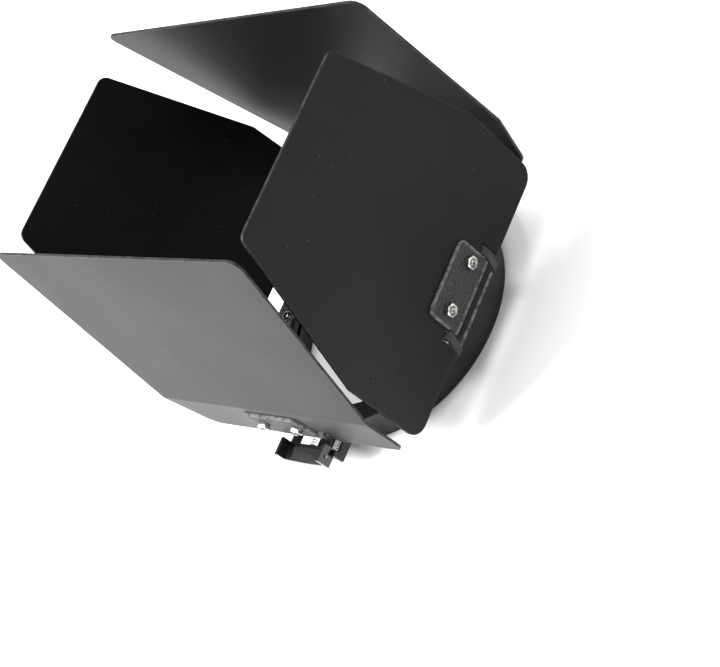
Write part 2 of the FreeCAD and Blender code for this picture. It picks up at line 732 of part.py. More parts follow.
def make_leaf_fixings(side):
    """Screws from the leaf's inner face, with hex nuts on the plate."""
    screws = []
    nuts = []
    for tag, sign in (("a", "-"), ("b", "")):
        along = f"{sign}{LEAF_SCREW_X}"
        name = f"leaf_screws_{side}_{tag}"
        head = rod(f"{name}_head", "z", "screw_head_dia / 2",
                   f"{LEAF_UNDER} - screw_head_thick", LEAF_UNDER, x=along, y=LEAF_SCREW_Y)
        shank = rod(f"{name}_shank", "z", "screw_dia / 2", LEAF_UNDER,
                    f"{PLATE_OUTER} + nut_thick + screw_tip", x=along, y=LEAF_SCREW_Y)
        socket = rod(f"{name}_socket", "z", "socket_width / 2",
                     f"{LEAF_UNDER} - screw_head_thick - overcut",
                     f"{LEAF_UNDER} - screw_head_thick / 2", x=along, y=LEAF_SCREW_Y)
        screws.append(cut(f"{name}_piece", fuse(f"{name}_solid", [head, shank]), [socket]))
        hexagon = doc.addObject("Part::Prism", f"leaf_nuts_{side}_{tag}_hexagon")
        hexagon.Polygon = 6
        hexagon.setExpression("Circumradius", expr("nut_width / sqrt(3)"))
        hexagon.setExpression("Height", expr("nut_thick"))
        hexagon.setExpression("Placement.Base.x", expr(along))
        hexagon.setExpression("Placement.Base.y", expr(LEAF_SCREW_Y))
        hexagon.setExpression("Placement.Base.z", expr(PLATE_OUTER))
        bore = rod(f"leaf_nuts_{side}_{tag}_bore", "z", "screw_dia / 2 + pin_clearance",
                   f"{PLATE_OUTER} - overcut", f"{PLATE_OUTER} + nut_thick + overcut",
                   x=along, y=LEAF_SCREW_Y)
        nuts.append(cut(f"leaf_nuts_{side}_{tag}_piece", hexagon, [bore]))
    place = hinge_place(side, moving=True)
    keep(f"leaf_screws_{side}", group(f"leaf_screws_{side}_pair", screws), place)
    keep(f"leaf_nuts_{side}", group(f"leaf_nuts_{side}_pair", nuts), place)


# ---------------------------------------------------------------- ring lock
def make_lock_guide():
    """A saddle under the bottom hinge with two lugs that steer the slide's cheeks."""
    lug_back = f"{RING_FRONT} - lug_under"
    lug_front = f"{RING_FRONT} + lug_over"
    block = box("guide_block", f"-{GUIDE_HALF}", GUIDE_HALF, f"-{GUIDE_OUT}", f"-{SEAT_R}",
                f"{STEM_BACK} - guide_under", f"{RING_FRONT} - bracket_gap")
    lugs = [
        box(f"guide_lug_{end}", low, f"{low} + lug_thick", f"-{GRIP_IN} - lug_cover",
            f"-{GUIDE_OUT} + overcut", lug_back, lug_front)
        for end, low in (("left", f"-{GUIDE_HALF}"), ("right", f"{GUIDE_HALF} - lug_thick"))
    ]
    band = rod("guide_band_space", "z", COLLAR_R, "0", lug_front)
    passage = box("guide_passage", "-stem_width / 2 - stem_side_gap",
                  "stem_width / 2 + stem_side_gap", f"-{GUIDE_OUT} - overcut", "0",
                  f"{STEM_BACK} - stem_side_gap", f"{STEM_TOP} + stem_side_gap")
    relief = box("guide_bracket_relief", f"-{GUIDE_HALF} - overcut", f"{GUIDE_HALF} + overcut",
                 f"-{HINGE_R} - {KNUCKLE_R} - bracket_gap", "0",
                 f"{RING_FRONT} - bracket_gap", f"{lug_front} + overcut")
    solid = fuse("guide_solid", [block] + lugs)
    keep("lock_guide", cut("guide_cut", solid, [band, passage, relief]))


def make_lock_slide():
    """The locking tooth and stem, the riser, and the C-shaped grip with its thumb hollow."""
    inner_half = f"({GRIP_HALF} - grip_wall)"
    riser_out = f"({GRIP_IN} + riser_thick)"
    web_front = f"({GRIP_BACK} + grip_web)"
    stem = box("slide_stem", "-stem_width / 2", "stem_width / 2",
               f"-{riser_out}", f"-{STEM_IN_R}", STEM_BACK, STEM_TOP)
    tooth = box("slide_tooth", "-tooth_width / 2", "tooth_width / 2",
                f"-{STEM_IN_R} - overcut", f"-{TOOTH_R}", STEM_BACK, STEM_TOP)
    riser = box("slide_riser", f"-{inner_half}", inner_half,
                f"-{riser_out}", f"-{GRIP_IN}", STEM_BACK, web_front)
    web = box("slide_web", f"-{GRIP_HALF}", GRIP_HALF, f"-{GRIP_OUT}", f"-{GRIP_IN}",
              GRIP_BACK, web_front)
    cheeks = [
        box(f"slide_cheek_{end}", low, f"{low} + grip_wall", f"-{GRIP_OUT}", f"-{GRIP_IN}",
            GRIP_BACK, GRIP_FRONT)
        for end, low in (("left", f"-{GRIP_HALF}"), ("right", inner_half))
    ]
    hollow_r = f"({inner_half} * {inner_half} / (2 * grip_hollow) + grip_hollow / 2)"
    hollow = rod("slide_hollow", "y", hollow_r, f"-{GRIP_OUT} - overcut", f"-{riser_out}",
                 z=f"{web_front} - grip_hollow + {hollow_r}")
    between = box("slide_between_cheeks", f"-{inner_half}", inner_half,
                  f"-{GRIP_OUT} - overcut", f"-{riser_out}", GRIP_BACK, f"{GRIP_FRONT} + overcut")
    scoop = doc.addObject("Part::MultiCommon", "slide_scoop")
    scoop.Shapes = [hollow, between]
    bore = rod("slide_pin_bore", "x", "grip_pin_dia / 2", f"-{GRIP_HALF} - overcut",
               f"{GRIP_HALF} + overcut", y=f"-{GRIP_IN} - grip_pin_out", z=f"{GRIP_BACK} + grip_pin_up")
    solid = fuse("slide_solid", [stem, tooth, riser, web] + cheeks)
    keep("lock_slide", cut("slide_cut", solid, [scoop, bore]))


def make_grip_pins():
    """Short steel dowels pressed through the grip's cheeks."""
    inner = f"({GRIP_HALF} - grip_wall)"
    outer = f"({GRIP_HALF} + grip_pin_proud)"
    pieces = [
        rod(f"grip_pin_{end}", "x", "grip_pin_dia / 2", low, high,
            y=f"-{GRIP_IN} - grip_pin_out", z=f"{GRIP_BACK} + grip_pin_up")
        for end, low, high in (("left", f"-{outer}", f"-{inner}"), ("right", inner, outer))
    ]
    keep("grip_pins", group("grip_pin_pair", pieces))


def make_lock_springs():
    """Two coil springs beside the stem, between the saddle and the riser."""
    low = size_of(f"-{GRIP_IN} + spring_gap + spring_wire / 2")
    high = size_of(f"-{GUIDE_OUT} - spring_gap - spring_wire / 2")
    wire = size_of("spring_wire")
    radius = (size_of("spring_dia") - wire) / 2
    aside = size_of("stem_width / 2 + spring_aside")
    height = size_of(f"{STEM_BACK} + stem_thick / 2")
    coils = []
    for sign in (-1, 1):
        helix = Part.makeHelix((high - low) / size_of("spring_turns"), high - low, radius)
        section = Part.Wire([Part.makeCircle(wire / 2, Vector(radius, 0, 0), Vector(0, 1, 0))])
        coil = Part.Wire(helix.Edges).makePipeShell([section], True, True)
        coil.Placement = Placement(Vector(sign * aside, low, height), Rotation(Vector(1, 0, 0), -90))
        coils.append(coil)
    made = doc.addObject("Part::Feature", "lock_springs")
    made.Shape = Part.makeCompound(coils)
    keep("lock_springs", made)


make_mount_ring()
make_circlip()
make_rotating_ring()
make_friction_pads()
for side in SIDES:
    make_bracket(side)
    make_screws(side)
    make_pins(side)
    make_washers(side)
    make_plate(side)
    make_leaf_fixings(side)
for side in ("right", "left"):
    make_narrow_leaf(side)
for side in ("top", "bottom"):
    make_wide_leaf(side)
make_lock_guide()
make_lock_slide()
make_grip_pins()
make_lock_springs()
doc.recompute()

# ---------------------------------------------------------------- checks and files
for item in doc.Objects:
    if "Invalid" in item.State or "Error" in item.State:
        raise RuntimeError(f"{item.Label} failed: {item.State}")
for label, item in nodes.items():
    if item.Shape.isNull() or not item.Shape.isValid():
        raise RuntimeError(f"{label} has no valid shape")

os.makedirs("parts", exist_ok=True)
for label, item in nodes.items():
    item.Shape.exportStep(f"parts/{label}.step")
    print(f"{label}: {len(item.Shape.Solids)} solids, {item.Shape.Volume:.1f} mm3")
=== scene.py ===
# %% [markdown]
# # Barn doors for a small spotlight
#
# Four black metal leaves hang on a ring that slips over the front of a lens. The packed
# model already has every part at its true size and place, so this script adds what a
# camera and a hand would notice: folded sheet with soft edges, rolled knuckles, cut
# threads, powder coat and satin plastic. The frame is loaded first.

# %% Load the imported frame
import json
import math

import bmesh
import bpy
import numpy as np
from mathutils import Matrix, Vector


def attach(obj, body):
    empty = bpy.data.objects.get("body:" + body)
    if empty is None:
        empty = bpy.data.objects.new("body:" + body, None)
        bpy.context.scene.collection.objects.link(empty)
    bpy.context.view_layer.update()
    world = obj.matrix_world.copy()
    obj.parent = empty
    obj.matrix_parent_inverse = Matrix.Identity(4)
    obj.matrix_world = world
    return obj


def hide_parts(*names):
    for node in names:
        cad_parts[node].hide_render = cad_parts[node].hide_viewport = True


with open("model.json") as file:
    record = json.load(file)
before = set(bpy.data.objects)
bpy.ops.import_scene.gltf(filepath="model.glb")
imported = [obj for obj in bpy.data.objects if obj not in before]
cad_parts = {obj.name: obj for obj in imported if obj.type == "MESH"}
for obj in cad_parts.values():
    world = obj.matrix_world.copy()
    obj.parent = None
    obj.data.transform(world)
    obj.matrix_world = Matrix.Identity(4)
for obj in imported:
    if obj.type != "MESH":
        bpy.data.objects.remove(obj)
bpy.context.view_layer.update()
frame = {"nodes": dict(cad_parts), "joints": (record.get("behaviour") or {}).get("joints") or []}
nodes = frame["nodes"]

# %% [markdown]
# ## Sizes and the four hinge frames
#
# All the shapes are worked out in millimetres and scaled once, when a mesh is made. The
# same bracket, plate and fixings sit at four hinges, so each is drawn once in a frame of
# its own: the origin on the pin, X along the pin, Y forward along the beam, Z outward. A
# leaf and its plate are drawn in that frame too, leaned out by the angle the leaf rests at.
# The pins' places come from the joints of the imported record.

# %% Sizes in millimetres
MM = 0.001
SHEET = 1.2
LEAF_OFFSET = 1.1
LEAF_TAIL = 7.0
LEAF_OUTER = LEAF_OFFSET + SHEET / 2
LEAF_UNDER = LEAF_OFFSET - SHEET / 2
PLATE_MIDDLE = LEAF_OUTER + SHEET / 2
PLATE_OUTER = LEAF_OUTER + SHEET
KNUCKLE_R = 3.1
KNUCKLE_INNER = 19.3
KNUCKLE_END = 23.0
EAR_OUT = 18.5
EAR_IN = EAR_OUT - SHEET
PIN_R = 1.2
SCREW_R = 1.5
RING_FRONT = 16.7
PIN_OUT = 71.3
PIN_HEIGHT = 31.2
WEAR_BAND = 1.2
SIDES = {"right": 0.0, "top": 90.0, "left": 180.0, "bottom": 270.0}
REST_ANGLE = {"right": 2.0, "top": 6.5, "left": 7.6, "bottom": 4.3}
PIN_AT = {
    side: np.array(joint["pos_m"]) / MM
    for side in SIDES
    for joint in frame["joints"]
    if joint["name"] == f"{side}_leaf_hinge"
}


def in_hinge(points, side, leaned):
    """Points of a hinge's own frame, in the row frame: origin + x along + y forward + z out."""
    turn = math.radians(SIDES[side])
    lean = math.radians(REST_ANGLE[side] if leaned else 0.0)
    out = np.array([math.cos(turn), math.sin(turn), 0.0])
    along = np.array([-math.sin(turn), math.cos(turn), 0.0])
    beam = np.array([0.0, 0.0, 1.0])
    forward = math.cos(lean) * beam + math.sin(lean) * out
    outward = math.cos(lean) * out - math.sin(lean) * beam
    return PIN_AT[side] + points @ np.stack([along, forward, outward])


def at_hinge(part, side, leaned):
    """A (points, faces, edge) part drawn in a hinge's own frame, placed at that hinge."""
    points, faces, edge = part
    return in_hinge(points, side, leaned), faces, edge


print("pins at", {side: at.round(1).tolist() for side, at in PIN_AT.items()})

# %% [markdown]
# ## Surfaces from arrays
#
# Almost everything here is either turned on a lathe or pressed from sheet. A turned part is
# a profile carried round an axis. A pressed part is the middle of the sheet, drawn as a grid
# of points, that the Solidify modifier then gives its thickness and the Bevel modifier its
# soft edges. Working with whole arrays keeps both to a few lines, and a cell of the grid
# that isn't wanted, such as a slot, is simply left out.
#
# Each point also carries a number called "edge", which is 1 where a hand or a tool rubs
# the finish off and 0 in the middle of a face; on the nickel fixings it also marks where a
# painted highlight goes. The materials read it later.

# %% Grids, outlines and turned profiles
def grid_faces(rows, columns, wrap_rows=False, wrap_columns=False):
    """Four corners of each cell of a grid numbered row by row, closed round where wrapped."""
    i = np.arange(rows if wrap_rows else rows - 1)
    j = np.arange(columns if wrap_columns else columns - 1)
    i, j = np.meshgrid(i, j, indexing="ij")
    below = (i + 1) % rows
    right = (j + 1) % columns
    corners = [i * columns + j, i * columns + right, below * columns + right, below * columns + j]
    return np.stack(corners, -1)


def rounded(corners, radii, steps=6, hold=0.25, closed=True):
    """An outline with each corner made an arc that touches both of its sides.

    The arc starts radius / tan(half the corner's angle) from the corner, and its centre is
    radius / sin(half the angle) away along the bisector. A point is held a little way before
    and after each arc, so that flat faces stay flat when shaded. Also returns 1 on the arcs.
    """
    corners = np.asarray(corners, float)
    points, edge = [], []
    for k, corner in enumerate(corners):
        at_end = not closed and k in (0, len(corners) - 1)
        if radii[k] == 0 or at_end:
            points.append(corner[None])
            edge.append(np.zeros(1))
            continue
        before = corners[k - 1] - corner
        after = corners[(k + 1) % len(corners)] - corner
        before /= np.linalg.norm(before)
        after /= np.linalg.norm(after)
        half = math.acos(np.clip(before @ after, -1, 1)) / 2
        run = radii[k] / math.tan(half)
        bisector = (before + after) / np.linalg.norm(before + after)
        centre = corner + bisector * radii[k] / math.sin(half)
        start = corner + before * run - centre
        end = corner + after * run - centre
        sweep = math.atan2(start[0] * end[1] - start[1] * end[0], start @ end)
        turn = np.linspace(0, sweep, steps + 1)[:, None]
        across = np.array([-start[1], start[0]])
        arc = centre + np.cos(turn) * start + np.sin(turn) * across
        held = [arc[:1] + before * hold, arc, arc[-1:] + after * hold] if hold else [arc]
        points += held
        edge += [np.full(len(p), float(p is arc)) for p in held]
    return np.concatenate(points), np.concatenate(edge)


def six_sided(angles):
    """How far a hexagon's side is at each angle, where its flats are 1 from the middle."""
    sixth = math.pi / 3
    return 1 / np.cos((angles + sixth / 2) % sixth - sixth / 2)


def turned(outline, edge, angles, closed=True, hexagon=None):
    """Each (radius, height) of an outline carried round: (r cos a, r sin a, h).

    Rows that hexagon marks are carried round a six-sided path of that size instead.
    """
    radius = np.repeat(outline[:, :1], len(angles), 1)
    if hexagon is not None:
        radius[hexagon] *= six_sided(angles)
    height = np.repeat(outline[:, 1:], len(angles), 1)
    points = np.stack([radius * np.cos(angles), radius * np.sin(angles), height], -1)
    faces = grid_faces(len(outline), len(angles), closed, True)
    return points.reshape(-1, 3), faces.reshape(-1, 4), np.repeat(edge, len(angles))


def round_angles(count):
    """That many equal steps round a full turn."""
    return np.arange(count) * (2 * math.pi / count)


def joined(parts):
    """Several (points, faces, edge) parts as one."""
    starts = np.cumsum([0] + [len(p) for p, _, _ in parts[:-1]])
    points = np.concatenate([p for p, _, _ in parts])
    faces = np.concatenate([f + start for (_, f, _), start in zip(parts, starts)])
    return points, faces, np.concatenate([e for _, _, e in parts])


# %% [markdown]
# ## From arrays to a piece of the object
#
# The points are written into a mesh in metres, doubled points at poles and shared rows are
# merged, the piece is set to ride on its body, the plain node it stands for is hidden, and
# it takes its finish. Sheet parts then get thickness and softened edges as modifiers.

# %% Make a piece
def stand_in(name, mesh, body, node, slot):
    """An object for a mesh, riding on a body in place of a plain node, with its finish."""
    mesh.materials.append(FINISH[slot])
    piece = bpy.data.objects.new(name, mesh)
    bpy.context.scene.collection.objects.link(piece)
    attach(piece, body)
    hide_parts(node)
    return piece


def make_piece(name, part, body, node, slot):
    """A closed piece from one (points, faces, edge) part, riding on a body."""
    points, faces, edge = part
    mesh = bpy.data.meshes.new(name)
    mesh.from_pydata((points * MM).tolist(), [], faces.tolist())
    mesh.attributes.new("edge", "FLOAT", "POINT").data.foreach_set("value", edge.astype(np.float32))
    shape = bmesh.new()
    shape.from_mesh(mesh)
    bmesh.ops.remove_doubles(shape, verts=shape.verts, dist=1e-7)
    bmesh.ops.recalc_face_normals(shape, faces=shape.faces)
    shape.to_mesh(mesh)
    shape.free()
    mesh.shade_smooth()
    mesh.set_sharp_from_angle(angle=math.radians(35))
    print(f"{name}: {len(mesh.polygons)} faces")
    return stand_in(name, mesh, body, node, slot)


def soften(piece, width, segments=3, angle=50):
    """Round every edge sharper than the angle, and keep the flats flat."""
    bevel = piece.modifiers.new("soft_edges", "BEVEL")
    bevel.width = width * MM
    bevel.segments = segments
    bevel.limit_method = "ANGLE"
    bevel.angle_limit = math.radians(angle)
    bevel.harden_normals = True


def thicken(piece, edge_radius):
    """Give a sheet its thickness, half to each side, and round its cut edges."""
    wall = piece.modifiers.new("sheet_thickness", "SOLIDIFY")
    wall.thickness = SHEET * MM
    wall.offset = 0.0
    wall.use_even_offset = True
    soften(piece, edge_radius)


# %% [markdown]
# ## Finishes: shared effects
#
# Paint, plastic and metal here share four effects: a fine grain that catches the light, a
# slow drift of tone across a face, specks of dust, and wear where edges are rubbed, which
# the nickel fixings use instead as a painted highlight on their edges and thread crests.
# Each is a small node group with named inputs, built once and used with different numbers.
# The groups give out only values, and every shader stays in its own material.

# %% Node helpers and shared effects
def new_group(name, inputs, outputs):
    """An empty shader group with float sockets, and its two end nodes."""
    group = bpy.data.node_groups.new(name, "ShaderNodeTree")
    for label, default in inputs.items():
        made = group.interface.new_socket(label, in_out="INPUT", socket_type="NodeSocketFloat")
        made.default_value = default
    for label in outputs:
        group.interface.new_socket(label, in_out="OUTPUT", socket_type="NodeSocketFloat")
    return group, group.nodes.new("NodeGroupInput"), group.nodes.new("NodeGroupOutput")


def add(tree, kind, settings=None, **inputs):
    """A node with its settings, its constant inputs, or links where an input is a socket."""
    node = tree.nodes.new(kind)
    for key, value in (settings or {}).items():
        setattr(node, key, value)
    for key, value in inputs.items():
        numbered = key[0] == "i" and key[1:].isdigit()
        socket = node.inputs[int(key[1:]) if numbered else key.replace("_", " ")]
        if isinstance(value, bpy.types.NodeSocket):
            tree.links.new(value, socket)
        else:
            socket.default_value = value
    return node


def noise(tree, scale, detail=2.0, roughness=0.5):
    """Noise on object coordinates, so a pattern stays with its piece."""
    place = add(tree, "ShaderNodeTexCoord")
    return add(tree, "ShaderNodeTexNoise", Vector=place.outputs["Object"], Scale=scale,
               Detail=detail, Roughness=roughness).outputs["Fac"]


def ramp(tree, value, low, high, out_low=0.0, out_high=1.0):
    """The value's share of the way from low to high, eased, as out_low to out_high."""
    settings = {"interpolation_type": "SMOOTHSTEP"}
    return add(tree, "ShaderNodeMapRange", settings, Value=value, From_Min=low, From_Max=high,
               To_Min=out_low, To_Max=out_high).outputs["Result"]


def build_grain():
    """Two sizes of fine noise added together: a height for a Bump node."""
    group, given, result = new_group("surface_grain", {"Fine": 3000.0, "Coarse": 900.0}, ["Height"])
    fine = noise(group, given.outputs["Fine"], 3.0, 0.6)
    coarse = noise(group, given.outputs["Coarse"], 2.0, 0.5)
    total = add(group, "ShaderNodeMath", {"operation": "ADD"}, i0=fine, i1=coarse)
    group.links.new(total.outputs[0], result.inputs["Height"])
    return group


def build_drift():
    """Slow cloudy change across a face, from 0 to 1."""
    group, given, result = new_group("tone_drift", {"Scale": 18.0}, ["Amount"])
    cloud = noise(group, given.outputs["Scale"], 4.0, 0.55)
    group.links.new(ramp(group, cloud, 0.35, 0.65), result.inputs["Amount"])
    return group


def build_dust():
    """Specks of uneven size, kept only in the few cells whose own random number is low."""
    settings = {"Scale": 420.0, "Size": 0.09, "Share": 0.1}
    group, given, result = new_group("dust_specks", settings, ["Mask"])
    place = add(group, "ShaderNodeTexCoord")
    cells = add(group, "ShaderNodeTexVoronoi",
                Vector=place.outputs["Object"], Scale=given.outputs["Scale"])
    chance = add(group, "ShaderNodeSeparateColor", Color=cells.outputs["Color"])
    reach = add(group, "ShaderNodeMath", {"operation": "MULTIPLY"},
                i0=chance.outputs["Green"], i1=given.outputs["Size"])
    near = add(group, "ShaderNodeMath", {"operation": "LESS_THAN"},
               i0=cells.outputs["Distance"], i1=reach.outputs[0])
    picked = add(group, "ShaderNodeMath", {"operation": "LESS_THAN"},
                 i0=chance.outputs["Red"], i1=given.outputs["Share"])
    both = add(group, "ShaderNodeMath", {"operation": "MULTIPLY"},
               i0=near.outputs[0], i1=picked.outputs[0])
    group.links.new(both.outputs[0], result.inputs["Mask"])
    return group


def build_wear_and_highlight():
    """The edge number broken up by noise: uneven rubbed paint, and on the fixings a painted
    highlight.
    """
    group, given, result = new_group("edge_wear_and_highlight", {"Scale": 350.0, "Amount": 0.5}, ["Mask"])
    edge = add(group, "ShaderNodeAttribute", {"attribute_name": "edge"}).outputs["Fac"]
    patches = ramp(group, noise(group, given.outputs["Scale"], 4.0, 0.65), 0.3, 0.62)
    broken = add(group, "ShaderNodeMath", {"operation": "MULTIPLY"}, i0=edge, i1=patches)
    scaled = add(group, "ShaderNodeMath", {"operation": "MULTIPLY"},
                 i0=broken.outputs[0], i1=given.outputs["Amount"])
    group.links.new(scaled.outputs[0], result.inputs["Mask"])
    return group


EFFECTS = {"grain": build_grain(), "drift": build_drift(), "dust": build_dust(), "wear_and_highlight": build_wear_and_highlight()}
print("effects:", sorted(EFFECTS))

# %% [markdown]
# ## Finishes: the materials
#
# Every coat on this object is the same recipe with other numbers. Two tones are mixed by
# the slow drift; worn edges, which on the fixings are a painted highlight, and dust are laid
# over them; roughness follows the same masks; and the grain bends the light through a Bump
# node. One function holds the recipe, and a table of named finishes holds the numbers,
# which makes them easy to compare.
#
# The leaves are powder coated, with a very fine even grain. The pressed hinge parts have
# the coarser wrinkle coat that hides tool marks. The rings and the lock are moulded
# plastic, and the fixings are nickel over steel, dull on their flats, with a painted
# highlight in a near-white tone on their corners, sides, dome rims and thread crests.

# %% One recipe for every coat
DUST_COLOUR = (0.16, 0.155, 0.15)
GLOSS_SPREAD = 0.04
RUBBED_GLOSS = 0.2


def effect(tree, kind, **inputs):
    """A copy of a shared effect in a material, with its numbers."""
    node = tree.nodes.new("ShaderNodeGroup")
    node.node_tree = EFFECTS[kind]
    for key, value in inputs.items():
        node.inputs[key].default_value = value
    return node.outputs[0]


def over(tree, mask, below, above):
    """One colour laid over another where the mask is 1."""
    mix = tree.nodes.new("ShaderNodeMix")
    mix.data_type = "RGBA"
    tree.links.new(mask, mix.inputs[0])
    for value, socket in ((below, mix.inputs[6]), (above, mix.inputs[7])):
        if isinstance(value, bpy.types.NodeSocket):
            tree.links.new(value, socket)
        else:
            socket.default_value = (*value, 1.0)
    return mix.outputs[2]


def coating(name, dark, light, worn_and_highlight, rough, grain, bump, drift=18.0, mottle=0.0, wear_and_highlight=0.5, dust=0.0,
            metallic=0.0, specular=0.5, coat=0.0, coat_rough=0.1, sheen=0.0):
    """A material: two drifting tones, worn edges (a painted highlight on the fixings), dust, uneven
    gloss and a fine grain.

    Mottle is how far the fine speckle of a coarse coat takes over from the slow drift.
    """
    made = bpy.data.materials.new(name)
    made.use_nodes = True
    tree = made.node_tree
    shader = tree.nodes["Principled BSDF"]
    shader.inputs["Metallic"].default_value = metallic
    shader.inputs["Specular IOR Level"].default_value = specular
    shader.inputs["Coat Weight"].default_value = coat
    shader.inputs["Coat Roughness"].default_value = coat_rough
    shader.inputs["Sheen Weight"].default_value = sheen
    tones = effect(tree, "drift", Scale=drift)
    if mottle:
        slow = add(tree, "ShaderNodeMath", {"operation": "MULTIPLY"}, i0=tones, i1=1 - mottle)
        fine = effect(tree, "drift", Scale=grain[1])
        tones = add(tree, "ShaderNodeMath", {"operation": "MULTIPLY_ADD"},
                    i0=fine, i1=mottle, i2=slow.outputs[0]).outputs[0]
    # The worn tone and its mask are rubbed finish on the coats, and a painted highlight on the
    # fixings.
    rubbed_and_highlit = effect(tree, "wear_and_highlight", Amount=wear_and_highlight)
    colour = over(tree, rubbed_and_highlit, over(tree, tones, dark, light), worn_and_highlight)
    if dust:
        specks = effect(tree, "dust", Share=dust)
        colour = over(tree, specks, colour, DUST_COLOUR)
    tree.links.new(colour, shader.inputs["Base Color"])
    gloss = ramp(tree, tones, 0.0, 1.0, rough * (1 - GLOSS_SPREAD), rough * (1 + GLOSS_SPREAD))
    polished = add(tree, "ShaderNodeMath", {"operation": "MULTIPLY_ADD"},
                   i0=rubbed_and_highlit, i1=-RUBBED_GLOSS * rough, i2=gloss)
    tree.links.new(polished.outputs[0], shader.inputs["Roughness"])
    height = effect(tree, "grain", Fine=grain[0], Coarse=grain[1])
    bumped = add(tree, "ShaderNodeBump", Height=height, Strength=bump[0], Distance=bump[1] * MM)
    tree.links.new(bumped.outputs["Normal"], shader.inputs["Normal"])
    return made


FINISH = {
    "leaf": coating(
        "powder_coat_black", (0.0056, 0.0054, 0.0051), (0.0080, 0.0077, 0.0072), (0.10, 0.098, 0.095),
        rough=0.41, grain=(3600, 1300), bump=(0.5, 0.030),
        drift=22, wear_and_highlight=0.3, dust=0.14, specular=0.12),
    "hinge": coating(
        "wrinkle_coat_black", (0.004, 0.0039, 0.0037), (0.040, 0.039, 0.037), (0.26, 0.255, 0.245),
        rough=0.56, grain=(2600, 1250), bump=(0.9, 0.09),
        drift=60, mottle=0.9, wear_and_highlight=0.7, dust=0.16, specular=0.3),
    "ring": coating(
        "satin_plastic_black", (0.0065, 0.0065, 0.0068), (0.0100, 0.0100, 0.0104), (0.05, 0.05, 0.05),
        rough=0.32, grain=(4200, 1900), bump=(0.25, 0.025),
        drift=25, wear_and_highlight=0.35, dust=0.1, specular=0.28),
    "grip": coating(
        "gloss_plastic_black", (0.006, 0.006, 0.0064), (0.009, 0.009, 0.0094), (0.05, 0.05, 0.05),
        rough=0.20, grain=(3600, 800), bump=(0.15, 0.015),
        drift=40, wear_and_highlight=0.3, dust=0.06, coat=0.3, coat_rough=0.12),
    # Painted highlight: the near-white worn tone at full wear lights the nuts' sides and corners, the
    # dome rims and the thread crests.
    "fixing": coating(
        "dull_nickel", (0.07, 0.068, 0.065), (0.16, 0.156, 0.15), (0.9, 0.89, 0.86),
        rough=0.18, grain=(3200, 900), bump=(0.3, 0.02),
        drift=420, wear_and_highlight=1.0, metallic=1.0),
    "pin": coating(
        "zinc_steel", (0.10, 0.10, 0.104), (0.18, 0.18, 0.184), (0.5, 0.5, 0.5),
        rough=0.34, grain=(3400, 1200), bump=(0.3, 0.015),
        drift=260, wear_and_highlight=0.5, metallic=1.0),
    "spring": coating(
        "spring_steel", (0.40, 0.40, 0.41), (0.52, 0.52, 0.53), (0.7, 0.7, 0.7),
        rough=0.28, grain=(3000, 1500), bump=(0.25, 0.012),
        drift=300, wear_and_highlight=0.4, metallic=1.0),
    "felt": coating(
        "pressed_felt", (0.012, 0.012, 0.012), (0.03, 0.03, 0.03), (0.03, 0.03, 0.03),
        rough=0.95, grain=(2600, 700), bump=(1.0, 0.35),
        drift=400, wear_and_highlight=0.0, sheen=0.4),
}
print("finishes:", sorted(FINISH))

# %% [markdown]
# ## The leaves
#
# Each leaf is one sheet 1.2 mm thick. Two are flat and narrow to their tips; the other two
# flare, and fold inward a little way out from the hinge. A folded sheet has no sharp line
# at its fold but a small curve, and that soft line is what the eye reads as real metal.
#
# So the leaf is a grid. A row's half width comes from the rounded outline at that distance
# from the pin, and its height from the folded side view. The middle columns are straight,
# because the slots that clear the hinge have straight sides; the outer ones spread with the
# outline, and the last two lie close to the edge, which keeps the worn band narrow.

# %% Cut and fold a leaf
SLOT_IN = 16.3
SLOT_OUT = KNUCKLE_END + 1.1
SLOT_FORWARD = KNUCKLE_R + 1.0
LEAF_CORNER = 5.0
REAR_CORNER = 7.5
LEAF_EDGE_R = 0.32
EDGE_BAND = np.array([0.0, 0.25, 0.7])
FOLD_ANGLE = math.radians(14.0)
FOLD_RADIUS = 6.0
FLANGE_RUN = 30.0
WIDE_RUN = 136.0
FOLD_AT = FLANGE_RUN - LEAF_TAIL
PANEL_RUN = WIDE_RUN - FLANGE_RUN
PANEL_END = FOLD_AT + PANEL_RUN * math.cos(FOLD_ANGLE)
PANEL_DROP = PANEL_RUN * math.sin(FOLD_ANGLE)
PANEL_FLARE = 16.75
TIP_SPREAD = PANEL_FLARE * (PANEL_END - FOLD_AT) / (PANEL_END + 1 - FOLD_AT)

MIDDLE_HALF = 28
ROW_STEP = 6.0

NARROW_HALF = 67.0
NARROW_TIP_HALF = 43.5
NARROW_STRAIGHT_END = 40.5
NARROW_END = 122.0
NARROW_OUTLINE = [(0, -LEAF_TAIL), (NARROW_HALF, -LEAF_TAIL), (NARROW_HALF, NARROW_STRAIGHT_END),
                  (NARROW_TIP_HALF, NARROW_END), (0, NARROW_END)]
WIDE_HALF = 67.25
FOLD_HALF = 72.75
WIDE_OUTLINE = [(0, -LEAF_TAIL), (WIDE_HALF, -LEAF_TAIL), (FOLD_HALF, FOLD_AT),
                (FOLD_HALF + TIP_SPREAD, PANEL_END), (0, PANEL_END)]


